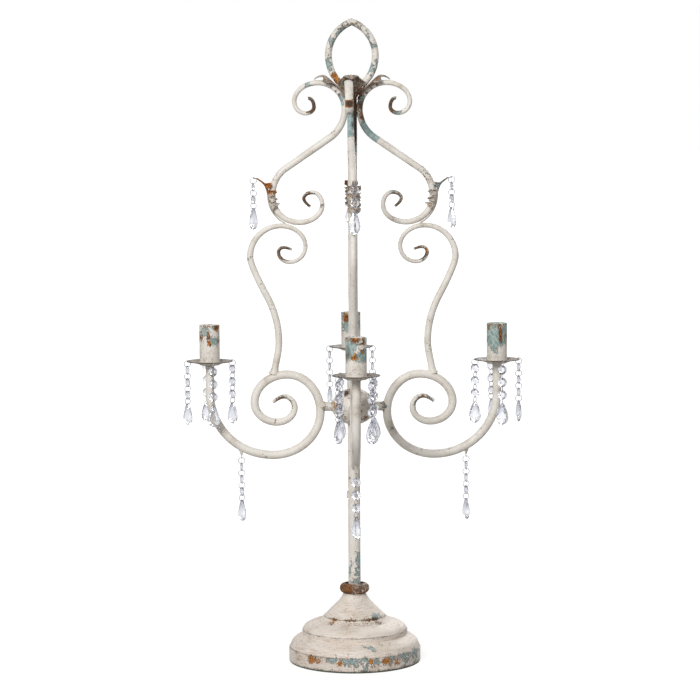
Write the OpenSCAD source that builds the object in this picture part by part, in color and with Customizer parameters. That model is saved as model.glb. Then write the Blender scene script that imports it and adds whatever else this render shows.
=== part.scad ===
// Tabletop chandelier: a four-armed scrolled candelabrum with crystal strands.
// Millimetres, Z up, origin on the table in the middle of the base, arms along X and Y.

/* [Base] */
// Diameter of the base where it stands
base_d = 180; // [165:1:200]
// Height of the base's upright side
base_side_h = 20; // [16:1:24]
// Diameter of the upper tier
tier_d = 144; // [130:1:150]
// Height of the upper tier's seam
tier_z = 38; // [35:0.5:42]
// Diameter of the cone where it rises from the upper tier
cone_d = 85; // [75:1:95]
// Height of the cone's foot
cone_z = 61; // [58:0.5:66]
// Height of the whole base
base_h = 93; // [86:0.5:100]
// Thickness of the sheet metal
base_wall = 1.2; // [0.8:0.1:2]
// Thickness of the felt under the base
felt_t = 1.5; // [1:0.1:3]
// Diameter of the ring round the foot of the stem
collar_d = 40.6; // [36:0.2:46]
// Height of that ring
collar_h = 13.5; // [11:0.5:16]

/* [Stem] */
// Diameter of the stem below the ball
lower_post_d = 16.7; // [14:0.1:18]
// Diameter of the stem above the ball
upper_post_d = 12.8; // [11:0.1:15]
// How far the stem ends below the upper scrolls' tops
stem_drop = 16; // [10:1:25]
// Diameter of the ball
hub_d = 60; // [54:1:66]
// Height of the ball
hub_h = 50; // [44:1:56]
// Height of the ball's middle
hub_z = 350; // [345:1:355]
// Diameter of the threaded rod at the stem's foot
rod_d = 9.5; // [8:0.5:11]

/* [Arms] */
// Diameter of the arm's tube
arm_tube_d = 10.8; // [9.5:0.1:12]
// Distance from the stem to the middle of a drip plate
arm_reach = 195; // [185:1:210]
// How far the arm hangs below the ball's middle
arm_drop = 66; // [60:1:72]
// Height of the arm from there to the drip plate
arm_h = 126; // [118:1:134]
// Length of the bar between the ball and an arm
spacer_len = 9.9; // [8:0.1:12]
// Distance from the stem to the hook under an arm
hook_reach = 153; // [145:1:160]

/* [Plates and cups] */
// Diameter of the drip plate
plate_d = 62.5; // [58:0.5:68]
// Rise from the plate's middle to its rim
plate_rise = 2.4; // [1:0.1:4]
// Thickness of the plate's metal
plate_t = 1; // [0.8:0.1:1.4]
// Diameter of the hole that a strand hangs in
strand_hole_d = 4; // [3.9:0.1:4.4]
// Metal between that hole and the rim
strand_web = 1.2; // [1:0.1:1.4]
// Diameter of the candle's hole
candle_d = 23.5; // [21:0.1:25]
// Thickness of the cup's wall
cup_wall = 1.5; // [1:0.1:2]
// Height of the candle cup
cup_h = 51; // [40:1:60]

/* [Scrolls] */
// Diameter of the middle scroll's tube
middle_tube_d = 8; // [7:0.1:8.6]
// Distance from the stem to the middle scroll's outermost point
middle_reach = 139; // [136:1:144]
// Width of the middle scroll
middle_w = 75; // [70:1:80]
// Distance from the stem to the foot of the middle scroll
middle_foot_r = 107.5; // [104:0.5:110]
// Height of the middle scroll
middle_h = 199; // [190:0.5:208]
// Diameter of the upper scroll's tube
upper_tube_d = 7.6; // [6.6:0.1:8]
// Width of the upper scroll from its neck
upper_w = 98.5; // [94:0.5:102]
// Height of the upper scroll
upper_h = 187.5; // [180:0.5:195]
// How far the middles of the upper scroll's tube pass above the middle scroll's
scroll_lift = 4.5; // [4.5:0.5:8]

/* [Top] */
// Height of the loop above the stem
loop_h = 98; // [85:1:110]
// Width of the loop between the middles of its tubes
loop_w = 63; // [58:1:68]
// Diameter of the loop's tube
loop_tube_d = 8.7; // [7.5:0.1:9]
// Thickness of the leaves' sheet metal
leaf_t = 0.8; // [0.6:0.1:1]

/* [Strands] */
// Outside diameter of a strand's wire ring
ring_d = 9.7; // [9.6:0.1:10]
// Diameter of the ring's wire
wire_d = 0.9; // [0.8:0.05:1]
// Size of an octagon crystal across its flats
octagon_d = 12; // [11.5:0.1:12.5]
// Thickness of an octagon crystal
octagon_t = 4.3; // [3.8:0.1:4.6]
// Diameter of the hole in a crystal
crystal_hole_d = 1.8; // [1.8:0.05:2]
// Length of the drop crystal
drop_l = 29; // [26:0.5:31]
// Width of the drop crystal
drop_w = 16.7; // [15:0.1:18]
// Thickness of the drop crystal
drop_t = 7.5; // [6:0.1:8]

/* [Hidden] */
$fn = 48;
sides = ["right", "back", "left", "front"];
plate_spots = ["a", "b", "c", "d"];
// How far each plate is turned on its arm, and the same for the spots on it
plate_turns = [10, 0, 10, -50];

paint = "#DDD4C8";
rusty_paint = "#A98C72";
teal_paint = "#8AA3A3";
crystal = "#DAD8E6";
wire = "#B9BABD";

// Gap between two pieces that touch but aren't one
seat_gap = 0.1;
weld_gap = 0.2;
base_r = base_d / 2;
hub_r = hub_d / 2;
arm_inner_r = hub_r + spacer_len + arm_tube_d / 2;
arm_w = arm_reach - arm_inner_r;
arm_bottom_z = hub_z - arm_drop;
plate_z = arm_bottom_z + arm_h;

// Curves that run through knots [across, up, heading in degrees, diameter]
function unit(a) = [cos(a), sin(a)];
function flat(p) = [p[0], p[1]];
function cross2(u, v) = u[0] * v[1] - u[1] * v[0];
function turn_of(p, q) = abs((q[2] - p[2] + 540) % 360 - 180);
function pull(p, q) =
    let (
        d = flat(q) - flat(p), u = unit(p[2]), v = unit(q[2]), c = cross2(u, v), t = turn_of(p, q),
        a = abs(c) < 0.1 ? 0 : cross2(d, v) / c,
        b = abs(c) < 0.1 ? 0 : cross2(u, d) / c,
        k = t < 1 ? 0.667 : 4 / 3 * tan(t / 4) / tan(t / 2)
    )
    a > 0 && b > 0 ? [a * k, b * k] : [norm(d) / 3, norm(d) / 3];
function bezier(a, b, c, d, s) =
    a * pow(1 - s, 3) + b * 3 * s * pow(1 - s, 2) + c * 3 * s * s * (1 - s) + d * pow(s, 3);
function stretch(p, q, steps, from) =
    let (h = pull(p, q), a = flat(p), d = flat(q), b = a + unit(p[2]) * h[0], c = d - unit(q[2]) * h[1])
    [for (i = [from:steps]) bezier(a, b, c, d, i / steps)];
// Every point of the curve as [across, up, diameter]
function curve(knots, steps) = [
    for (k = [0:len(knots) - 2])
        let (p = knots[k], q = knots[k + 1], from = k == 0 ? 0 : 1, line = stretch(p, q, steps, from))
        for (i = [0:len(line) - 1])
            let (s = (i + from) / steps)
            [line[i][0], line[i][1], len(p) > 3 ? p[3] * (1 - s) + q[3] * s : 0]
];
function along(pts, i) =
    let (a = pts[max(i - 1, 0)], b = pts[min(i + 1, len(pts) - 1)], d = flat(b) - flat(a))
    d / norm(d);

// A round tube through the points, in the XZ plane, that starts and ends in the given directions. The seat
// is how much further each point of the first ring reaches back, from its places across and sideways.
module tube_on(pts, first, end, n = 8, seat = function(x, y) 0) {
    last = len(pts) - 1;
    ring_pts = [
        for (i = [0:last])
            let (dir = i == 0 ? first : i == last ? end : along(pts, i), r = pts[i][2] / 2)
            for (j = [0:n - 1])
                let (
                    a = 360 * (j + 0.5) / n, x = -dir[1] * r * cos(a), z = dir[0] * r * cos(a),
                    y = r * sin(a), back = i == 0 ? seat(x, y) : 0
                )
                [pts[i][0] + x - dir[0] * back, y, pts[i][1] + z - dir[1] * back]
    ];
    walls = [
        for (i = [0:last - 1]) for (j = [0:n - 1])
            let (a = i * n + j, b = i * n + (j + 1) % n)
            [a, b, b + n, a + n]
    ];
    polyhedron(ring_pts, concat([[for (j = [n - 1:-1:0]) j]], walls, [[for (j = [0:n - 1]) last * n + j]]));
}

module tube(knots, steps = 5, n = 8, seat = function(x, y) 0) {
    tube_on(curve(knots, steps), unit(knots[0][2]), unit(knots[len(knots) - 1][2]), n, seat);
}

// A sheet over a grid of points, rows[i][j], whose second face lies lift[i] away from row i
module sheet(rows, lift) {
    m = len(rows);
    n = len(rows[0]);
    top = m * n;
    pts = concat(
        [for (i = [0:m - 1]) for (j = [0:n - 1]) rows[i][j]],
        [for (i = [0:m - 1]) for (j = [0:n - 1]) rows[i][j] + lift[i]]
    );
    quads = [
        for (i = [0:m - 2]) for (j = [0:n - 2])
            let (a = i * n + j)
            [a, a + n, a + n + 1, a + 1]
    ];
    upper = [for (q = quads) [for (k = [3:-1:0]) q[k] + top]];
    rim = concat(
        [for (j = [0:n - 1]) j],
        [for (i = [1:m - 1]) i * n + n - 1],
        [for (j = [n - 2:-1:0]) (m - 1) * n + j],
        [for (i = [m - 2:-1:1]) i * n]
    );
    edge = [
        for (k = [0:len(rim) - 1])
            let (a = rim[k], b = rim[(k + 1) % len(rim)])
            [a, b, b + top, a + top]
    ];
    polyhedron(pts, concat(quads, upper, edge));
}

module turned(outer, inner) {
    rotate_extrude() polygon(concat(outer, inner));
}

module at_side(i) {
    rotate([0, 0, 90 * i]) children();
}

// Base
neck_r = 15.5;
crease_h = 1.5;
base_line = [
    [base_r - 1, base_side_h, 90],
    [base_r - 4, base_side_h + 7, 115],
    [tier_d / 2 - 0.5, tier_z - 1, 155]
];
tier_line = [
    [tier_d / 2, tier_z + 4, 90],
    [tier_d / 2 - 7, tier_z + 12, 145],
    [cone_d / 2, cone_z, 150]
];
cone_line = [
    [cone_d / 2 - 0.6, cone_z + 1, 135],
    [neck_r + 5, base_h - 9, 125],
    [neck_r, base_h, 95]
];
base_outline = concat(
    [for (p = curve(base_line, 4)) flat(p)],
    [[tier_d / 2 - 0.5, tier_z]],
    [for (p = curve(tier_line, 4)) flat(p)],
    [for (p = curve(cone_line, 4)) flat(p)]
);

module base_shell() {
    color(paint) turned(
        concat([[base_r - base_wall, felt_t], [base_r, felt_t], [base_r, base_side_h - 0.6]], base_outline),
        concat(
            [[rod_d / 2 + seat_gap, base_h], [rod_d / 2 + seat_gap, base_h - 2 * base_wall]],
            [for (k = [len(base_outline) - 3:-1:0]) base_outline[k] - [base_wall, 0.7 * base_wall]],
            [[base_r - base_wall, base_side_h - crease_h]]
        )
    );
}

weight_r = base_r - base_wall - seat_gap;
weight_h = base_side_h - crease_h - felt_t;
nut_af = 2 * rod_d;
washer_t = 2;
nut_h = 0.8 * rod_d;
pocket_h = nut_h + washer_t - 1;
pocket_r = nut_af / 2 + 4;

module base_weight() {
    color("#4A4743") difference() {
        translate([0, 0, felt_t]) cylinder(r = weight_r, h = weight_h);
        cylinder(d = rod_d + 1, h = base_h);
        translate([0, 0, -1]) cylinder(r = pocket_r, h = felt_t + pocket_h + 1);
    }
}

module felt_pad() {
    color("#3E4A3A") difference() {
        cylinder(r = base_r - base_wall / 2, h = felt_t);
        translate([0, 0, -1]) cylinder(r = pocket_r, h = felt_t + 2);
    }
}

module base_nut() {
    color("#8C8E90") {
        difference() {
            translate([0, 0, felt_t + pocket_h - washer_t]) cylinder(r = nut_af / 2 + 2, h = washer_t);
            cylinder(r = rod_d / 2 + 2 * seat_gap, h = base_h);
        }
        difference() {
            translate([0, 0, felt_t + pocket_h - washer_t - seat_gap - nut_h])
                cylinder(d = nut_af / cos(30), h = nut_h, $fn = 6);
            translate([0, 0, -1]) cylinder(r = rod_d / 2 + seat_gap, h = base_h);
        }
    }
}

module base_collar() {
    round_r = collar_h / 2;
    color(rusty_paint) translate([0, 0, base_h]) difference() {
        union() {
            cylinder(r = collar_d / 2 - round_r * 0.55, h = collar_h);
            translate([0, 0, round_r])
                rotate_extrude() translate([collar_d / 2 - round_r, 0]) circle(round_r);
        }
        translate([0, 0, -1]) cylinder(r = lower_post_d / 2 + seat_gap, h = collar_h + 2);
        translate([0, 0, collar_h - 2]) cylinder(r = lower_post_d / 2 + 4, h = 3);
    }
}

// Stem
hub_pocket = 8;

module lower_post() {
    top = hub_z - hub_h / 2 + hub_pocket;
    color(teal_paint) {
        translate([0, 0, base_h]) cylinder(d = lower_post_d, h = top - base_h);
        translate([0, 0, felt_t + 0.5]) cylinder(d = rod_d, h = base_h - felt_t);
    }
}

module upper_post() {
    foot = hub_z + hub_h / 2 - hub_pocket;
    color(teal_paint) translate([0, 0, foot]) cylinder(d = upper_post_d, h = stem_top_z - foot);
}

module hub() {
    bands = 16;
    half = [for (k = [0:bands]) let (a = -90 + 180 * k / bands) [hub_r * cos(a), hub_h / 2 * sin(a)]];
    color(paint) translate([0, 0, hub_z]) difference() {
        rotate_extrude() polygon([for (p = half) [max(p[0], 0), p[1]]]);
        translate([0, 0, -hub_h / 2 - 1]) cylinder(r = lower_post_d / 2 + seat_gap, h = hub_pocket + 1);
        translate([0, 0, hub_h / 2 - hub_pocket])
            cylinder(r = upper_post_d / 2 + seat_gap, h = hub_pocket + 1);
    }
}

module spacer_bars() {
    color(paint) for (i = [0:3]) at_side(i) difference() {
        translate([hub_r * 0.8, 0, hub_z]) rotate([0, 90, 0])
            cylinder(d = arm_tube_d, h = arm_inner_r - hub_r * 0.8);
        translate([0, 0, hub_z]) sphere(r = hub_r + weld_gap);
        translate([arm_inner_r, 0, hub_z - arm_tube_d])
            cylinder(r = arm_tube_d / 2 + weld_gap, h = 2 * arm_tube_d);
    }
}

// Arms: knots are shares of the arm's width and height from its innermost and lowest points
arm_shape = [
    [1, 1, 270, 1],
    [1, 0.66, 270, 1],
    [0.43, 0, 180, 1],
    [0, 0.47, 90, 1],
    [0.3, 0.873, 0, 0.98],
    [0.597, 0.571, 270, 0.9],
    [0.391, 0.357, 180, 0.78],
    [0.233, 0.516, 90, 0.66],
    [0.328, 0.635, 0, 0.5],
    [0.429, 0.575, 320, 0.36]
];
arm_knots = [
    for (k = arm_shape) [arm_inner_r + k[0] * arm_w, arm_bottom_z + k[1] * arm_h, k[2], k[3] * arm_tube_d]
];

module lower_arm() {
    color(paint) tube(arm_knots, 6);
}

// Height of an elliptic quarter between two of the arm's knots, one at its top or bottom and one at its side
function quarter_z(flat_end, side_end, r) =
    side_end[1] + (flat_end[1] - side_end[1])
        * sqrt(1 - pow((r - flat_end[0]) / (side_end[0] - flat_end[0]), 2));

// Middle scroll: it stands on top of the arm's curl
foot_r0 = middle_foot_r;
foot_z0 = quarter_z(arm_knots[4], arm_knots[5], foot_r0);
foot_slope = quarter_z(arm_knots[4], arm_knots[5], foot_r0 + 1) - foot_z0;
foot_lean = sqrt(1 + foot_slope * foot_slope);
foot_tube_r = arm_tube_d / 2 + weld_gap;
middle_foot_z = foot_z0 + foot_tube_r * foot_lean;
middle_top_z = middle_foot_z + middle_h;
middle_shape = [
    [0.7, 0.52, 62, 1],
    [1, 0.79, 90, 1],
    [0.448, 1, 180, 0.95],
    [0, 0.861, 270, 0.8],
    [0.29, 0.753, 0, 0.7],
    [0.488, 0.82, 90, 0.6],
    [0.398, 0.853, 180, 0.5],
    [0.245, 0.838, 205, 0.38]
];
middle_left_r = middle_reach - middle_w;
middle_knots = concat(
    [
        [foot_r0, middle_foot_z, 98, middle_tube_d],
        [middle_left_r + 0.493 * middle_w, middle_foot_z + 0.21 * middle_h, 90, middle_tube_d]
    ],
    [for (s = middle_shape)
        [middle_left_r + s[0] * middle_w, middle_foot_z + s[1] * middle_h, s[2], s[3] * middle_tube_d]]
);

module middle_scroll() {
    color(paint) tube(middle_knots, 6, 8, function(x, y)
        foot_tube_r * foot_lean - sqrt(foot_tube_r * foot_tube_r - y * y) * foot_lean - x * foot_slope);
}

// Upper scroll: knots are shares of its width from the neck and of its height
neck_scroll_r = upper_post_d / 2 + upper_tube_d * 0.45 + weld_gap;
upper_bottom_z = middle_top_z + scroll_lift;
upper_top_z = upper_bottom_z + upper_h;
stem_top_z = upper_top_z - stem_drop;
upper_shape = [
    [0.5, 0.888, 160, 0.5],
    [0.419, 0.828, 270, 0.55],
    [0.528, 0.782, 0, 0.65],
    [0.688, 0.867, 90, 0.75],
    [0.364, 1, 180, 0.85],
    [0, 0.811, 270, 0.9],
    [0.207, 0.606, 326, 1],
    [0.82, 0.386, 326, 1],
    [1, 0.19, 270, 1],
    [0.629, 0, 180, 1],
    [0.315, 0.125, 90, 0.85],
    [0.444, 0.216, 0, 0.7],
    [0.567, 0.173, 270, 0.55],
    [0.477, 0.113, 215, 0.4]
];
upper_knots = [
    for (k = upper_shape)
        [neck_scroll_r + k[0] * upper_w, upper_bottom_z + k[1] * upper_h, k[2], k[3] * upper_tube_d]
];

module upper_scroll() {
    color(paint) tube(upper_knots, 5);
}

// Pointed loop on top of the stem
leg_r = 5.2;
leg_spread = loop_w / 2 - leg_r;
loop_shape = [[0, 0, 90], [0.27, 0.11, 50], [0.74, 0.27, 60], [1, 0.54, 90]];
loop_right = concat(
    [for (k = loop_shape) [leg_r + k[0] * leg_spread, stem_top_z + k[1] * loop_h, k[2], loop_tube_d]],
    [[0, stem_top_z + loop_h, 160, loop_tube_d]]
);
loop_side = curve(loop_right, 5);
loop_pts = concat(
    loop_side,
    [for (i = [len(loop_side) - 2:-1:0]) let (p = loop_side[i]) [-p[0], p[1], p[2]]]
);

module finial_loop() {
    color(paint) tube_on(loop_pts, [0, 1], [0, -1]);
}

// Crown leaves, each from the neck over the top of an upper scroll
leaf_top = upper_knots[4];
leaf_line = [
    [upper_post_d / 2 + 1.1, stem_top_z - 7, 70],
    [upper_post_d / 2 + 11.6, stem_top_z + 8, 48],
    [leaf_top[0] - 8, leaf_top[1] + 9.5, 5],
    [leaf_top[0] + 5, leaf_top[1] + upper_tube_d / 2 + 0.5, 310]
];
leaf_half_w = [3.2, 5.2, 7.4, 9.6, 11.6, 13.2, 14.5, 13, 9, 11, 7, 4, 1.2];

module crown_leaf() {
    pts = curve(leaf_line, 4);
    ribs = 3;
    rows = [
        for (i = [0:len(pts) - 1])
            let (d = along(pts, i), w = leaf_half_w[i])
            [for (j = [-ribs:ribs])
                let (s = j / ribs, droop = (i > 6 ? -0.35 : 0.12) * w * s * s + 0.5 * (j % 2))
                [pts[i][0] - d[1] * droop, w * s, pts[i][1] + d[0] * droop]]
    ];
    sheet(rows, [for (i = [0:len(pts) - 1]) let (d = along(pts, i)) [-d[1], 0, d[0]] * leaf_t]);
}

module crown_leaves() {
    color(rusty_paint) for (i = [0:3]) at_side(i) crown_leaf();
}

// Leaf clasps on the upper scrolls' outer bend, drawn out into a flat eye
clasp_out = upper_tube_d / 2 + weld_gap + leaf_t;
bend = upper_knots[8];
bend_foot = upper_knots[9];
clasp_wrap = 42;
eye_t = 1;
eye_r = strand_hole_d / 2 + strand_web;
leaf_eye_r = bend[0] + 22.8;
leaf_eye_z = bend[1] + 23.5;
clasp_line = [
    [
        bend_foot[0] + (bend[0] - bend_foot[0] + clasp_out) * cos(clasp_wrap),
        bend[1] - (bend[1] - bend_foot[1] + clasp_out) * sin(clasp_wrap),
        90 - clasp_wrap
    ],
    [bend[0] + clasp_out, bend[1], 90],
    [bend[0] + clasp_out + 3, bend[1] + 14, 65],
    [leaf_eye_r - eye_r + 0.6, leaf_eye_z, 0]
];
clasp_half_w = [3, 9, 6.5, 10.5, 7, 10, 6, 7.5, 5, 3.2, 2, 1.6, 1.6];

module leaf_clasp() {
    pts = curve(clasp_line, 4);
    rows = [
        for (i = [0:len(pts) - 1])
            let (d = along(pts, i), w = clasp_half_w[i])
            [for (j = [-2:2])
                let (y = w * j / 2, wrap = (i < 8 ? 0.05 : 0) * y * y)
                [pts[i][0] - d[1] * wrap, y, pts[i][1] + d[0] * wrap]]
    ];
    color(rusty_paint) {
        sheet(rows, [for (i = [0:len(pts) - 1]) let (d = along(pts, i)) [d[1], 0, -d[0]] * -leaf_t]);
        translate([leaf_eye_r, 0, leaf_eye_z]) difference() {
            cylinder(r = eye_r, h = eye_t);
            translate([0, 0, -1]) cylinder(d = strand_hole_d, h = eye_t + 2);
        }
    }
}

// Drip plates and candle cups
plate_r = plate_d / 2;
cup_r = candle_d / 2 + cup_wall;
plate_flat_r = cup_r + 1;
hole_circle_r = plate_r - strand_web - strand_hole_d / 2;
plate_shoulder_r = hole_circle_r - strand_hole_d / 2 - 0.6;

module drip_plate() {
    under = [[0, 0], [plate_flat_r, 0], [plate_shoulder_r, plate_rise], [plate_r, plate_rise]];
    color(paint) difference() {
        union() {
            rotate_extrude() polygon(concat(under, [for (k = [3:-1:0]) under[k] + [0, plate_t]]));
            translate([0, 0, -4]) difference() {
                cylinder(r = arm_tube_d / 2 + 2, h = 4);
                translate([0, 0, -1]) cylinder(r = arm_tube_d / 2 + seat_gap, h = 5);
            }
        }
        for (k = [0:3]) rotate([0, 0, 90 * k]) translate([hole_circle_r, 0, -1])
            cylinder(d = strand_hole_d, h = plate_rise + plate_t + 2);
    }
}

module candle_cup() {
    color(teal_paint) difference() {
        cylinder(r = cup_r, h = cup_h);
        translate([0, 0, cup_wall]) cylinder(d = candle_d, h = cup_h);
    }
}

// Hooks under the arms: a cone with an eye that a strand's first ring goes through
lug_t = 1;
lug_r = 2.6;
lug_hole_d = 2.6;
lug_slack = 0.4;
hook_arm_z = quarter_z(arm_knots[2], arm_knots[1], hook_reach);
hook_slope = quarter_z(arm_knots[2], arm_knots[1], hook_reach + 1) - hook_arm_z;
hook_under_z = hook_arm_z - arm_tube_d / 2 * sqrt(1 + hook_slope * hook_slope);
lug_z = hook_under_z - 8;

module arm_hook() {
    difference() {
        union() {
            translate([0, 0, lug_z + 2]) cylinder(r1 = 1.2, r2 = 3.4, h = hook_under_z - lug_z + 1);
            translate([-lug_t / 2, 0, lug_z]) rotate([0, 90, 0]) cylinder(r = lug_r, h = lug_t);
        }
        translate([-5, 0, lug_z]) rotate([0, 90, 0]) cylinder(d = lug_hole_d, h = 10);
        translate([0, 0, hook_arm_z]) rotate([0, 90 - atan(hook_slope), 0])
            cylinder(r = arm_tube_d / 2 + weld_gap, h = 40, center = true);
    }
}

module arm_hooks() {
    color(rusty_paint) for (i = [0:3]) at_side(i) translate([hook_reach, 0, 0]) arm_hook();
}

// Strands: wire rings, octagons and a drop, hanging from the middle of the first ring
ring_r = (ring_d - wire_d) / 2;
hole_slip = 0.15;
hole_step = octagon_d - 3.5;
link_step = 2 * ring_r + hole_step - 2 * hole_slip;
table_share = 0.6;
girdle_t = 1.4;

module wire_ring() {
    color(wire) rotate([90, 0, 0]) rotate_extrude() translate([ring_r, 0]) circle(d = wire_d);
}

// A crystal with a flat table on both sides, from an outline of the girdle
module cut_crystal(outline, centre, t) {
    n = len(outline);
    ring = function(s, x) [for (p = outline) concat([x], centre + (p - centre) * s)];
    pts = concat(
        ring(table_share, -t / 2), ring(1, -girdle_t / 2), ring(1, girdle_t / 2), ring(table_share, t / 2)
    );
    walls = [
        for (k = [0:2]) for (j = [0:n - 1])
            let (a = k * n + j, b = k * n + (j + 1) % n)
            [a, a + n, b + n, b]
    ];
    polyhedron(pts, concat([[for (j = [0:n - 1]) j]], walls, [[for (j = [n - 1:-1:0]) 3 * n + j]]));
}

module octagon() {
    corner_r = octagon_d / 2 / cos(22.5);
    color(crystal) difference() {
        cut_crystal([for (k = [0:7]) corner_r * unit(22.5 + 45 * k)], [0, 0], octagon_t);
        for (up = [-1, 1]) translate([-octagon_t, 0, up * hole_step / 2]) rotate([0, 90, 0])
            cylinder(d = crystal_hole_d, h = 2 * octagon_t);
    }
}

drop_top = 1.7;
drop_outline = [
    [0.12, 0], [0.3, 0.2], [0.42, 0.42], [0.5, 0.65], [0.42, 0.85], [0.2, 0.98],
    [-0.2, 0.98], [-0.42, 0.85], [-0.5, 0.65], [-0.42, 0.42], [-0.3, 0.2], [-0.12, 0]
];

// The drop hangs with its hole at the origin
module drop() {
    color(crystal) difference() {
        cut_crystal(
            [for (p = drop_outline) [-p[0] * drop_w, drop_top - p[1] * drop_l]], [0, -drop_l * 0.5], drop_t
        );
        translate([-drop_t, 0, 0]) rotate([0, 90, 0]) cylinder(d = crystal_hole_d, h = 2 * drop_t);
    }
}

// A strand whose first ring's middle is at the origin; each crystal below is turned by the same twist
module strand(octagons, twist = 0) {
    wire_ring();
    for (k = [1:octagons]) {
        translate([0, 0, -(k - 0.5) * link_step]) rotate([0, 0, (2 * k - 1) * twist]) octagon();
        translate([0, 0, -k * link_step]) rotate([0, 0, 2 * k * twist]) wire_ring();
    }
    translate([0, 0, -octagons * link_step - ring_r - hole_slip])
        rotate([0, 0, (2 * octagons + 1) * twist]) drop();
}

// How far below the middle of the metal it hangs on a ring's middle lies
ring_slack = 0.4;
hang = ring_r - wire_d / 2 - plate_t / 2 - ring_slack;

// Degrees that each link is turned in the last one, at most about 8
plate_twists = [[0, 6.4, 0, -2.4], [3.2, 0, -4.8, 0], [5.6, 0, 0, 2.4], [0, -4, 6.4, 0]];
arm_twists = [4, 0, 5.6, -6.4];
leaf_twists = [8, 2.4, -8, 4.8];

module plate_strand(i, k) {
    translate([arm_reach, 0, plate_z + plate_rise + plate_t / 2 - hang])
        rotate([0, 0, plate_turns[i] + 90 * k])
            translate([plate_r - strand_web / 2, 0, 0]) strand(3, plate_twists[i][k]);
}

module arm_strand(i) {
    translate([hook_reach, 0, lug_z - lug_slack - ring_r]) strand(3, arm_twists[i]);
}

module leaf_strand(i) {
    translate([leaf_eye_r + eye_r - strand_web / 2, 0, leaf_eye_z + eye_t / 2 - hang])
        strand(2, leaf_twists[i]);
}

base_shell();
base_weight();
felt_pad();
base_nut();
base_collar();
lower_post();
upper_post();
hub();
spacer_bars();
arm_hooks();
crown_leaves();
finial_loop();
for (i = [0:3]) {
    at_side(i) lower_arm();
    at_side(i) middle_scroll();
    at_side(i) upper_scroll();
    at_side(i) leaf_clasp();
    at_side(i) translate([arm_reach, 0, plate_z]) rotate([0, 0, plate_turns[i]]) drip_plate();
    at_side(i) translate([arm_reach, 0, plate_z + plate_t]) candle_cup();
    at_side(i) arm_strand(i);
    at_side(i) leaf_strand(i);
    for (k = [0:3])
        at_side(i) plate_strand(i, k);
}
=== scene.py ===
import math

import bmesh
import bpy
import numpy as np
from mathutils import Matrix, Vector


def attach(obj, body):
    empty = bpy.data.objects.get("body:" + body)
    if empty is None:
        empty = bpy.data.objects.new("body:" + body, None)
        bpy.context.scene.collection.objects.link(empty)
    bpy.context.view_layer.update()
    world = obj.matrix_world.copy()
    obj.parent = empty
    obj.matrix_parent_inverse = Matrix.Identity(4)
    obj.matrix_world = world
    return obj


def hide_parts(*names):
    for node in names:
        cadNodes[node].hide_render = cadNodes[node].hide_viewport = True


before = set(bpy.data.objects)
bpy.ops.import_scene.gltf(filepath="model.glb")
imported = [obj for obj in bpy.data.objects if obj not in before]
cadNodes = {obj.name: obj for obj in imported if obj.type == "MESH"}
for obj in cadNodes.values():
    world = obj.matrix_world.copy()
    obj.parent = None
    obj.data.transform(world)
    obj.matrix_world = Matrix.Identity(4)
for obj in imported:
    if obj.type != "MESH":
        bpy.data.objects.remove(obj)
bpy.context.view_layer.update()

rootBody = "candelabrum"
sides = ["right", "back", "left", "front"]
plateSpots = ["a", "b", "c", "d"]
mm = 0.001
print("frame loaded:", len(cadNodes), "nodes")

# Camera

cameraView = {
    "distance": 3.5,
    "height": 0.77,
    "turn": 1.0,          # the chandelier stands a degree off square
    "swing": -0.075,
    "pitch": 5.6,
    "roll": 0.3,
    "focalLength": 133.2,
}


def makeCamera(view):
    data = bpy.data.cameras.new("photoCamera")
    data.lens = view["focalLength"]
    data.sensor_width = 36
    data.sensor_fit = "HORIZONTAL"
    data.clip_end = 60
    camera = bpy.data.objects.new("photoCamera", data)
    bpy.context.scene.collection.objects.link(camera)
    turn = math.radians(view["turn"])
    place = Vector((-math.sin(turn), -math.cos(turn), 0)) * view["distance"] + Vector((0, 0, view["height"]))
    camera.matrix_world = (
        Matrix.Translation(place)
        @ Matrix.Rotation(-math.radians(view["turn"] + view["swing"]), 4, "Z")
        @ Matrix.Rotation(math.radians(90 - view["pitch"]), 4, "X")
        @ Matrix.Rotation(math.radians(-view["roll"]), 4, "Z")
    )
    bpy.context.scene.camera = camera


makeCamera(cameraView)

# Materials


def linear(hexColour):
    def channel(c):
        return c / 12.92 if c <= 0.04045 else ((c + 0.055) / 1.055) ** 2.4
    return [channel(int(hexColour[k:k + 2], 16) / 255) for k in (1, 3, 5)] + [1]


# Adds a node: settings are its own properties, its inputs' values or a colour ramp's stops, and links are its
# inputs' sources
def addNode(tree, kind, settings={}, links={}):
    node = tree.nodes.new(kind)
    for name, value in settings.items():
        if name == "stops":
            elements = node.color_ramp.elements
            while len(elements) < len(value):
                elements.new(0.5)
            for element, (at, hexColour) in zip(elements, value):
                element.position = at
                element.color = linear(hexColour)
        elif isinstance(name, str) and hasattr(node, name):
            setattr(node, name, value)
        else:
            node.inputs[name].default_value = value
    for name, source in links.items():
        tree.links.new(source, node.inputs[name])
    return node


def newMaterial(name):
    material = bpy.data.materials.new(name)
    material.use_nodes = True
    material.node_tree.nodes.clear()
    return material, material.node_tree


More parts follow.
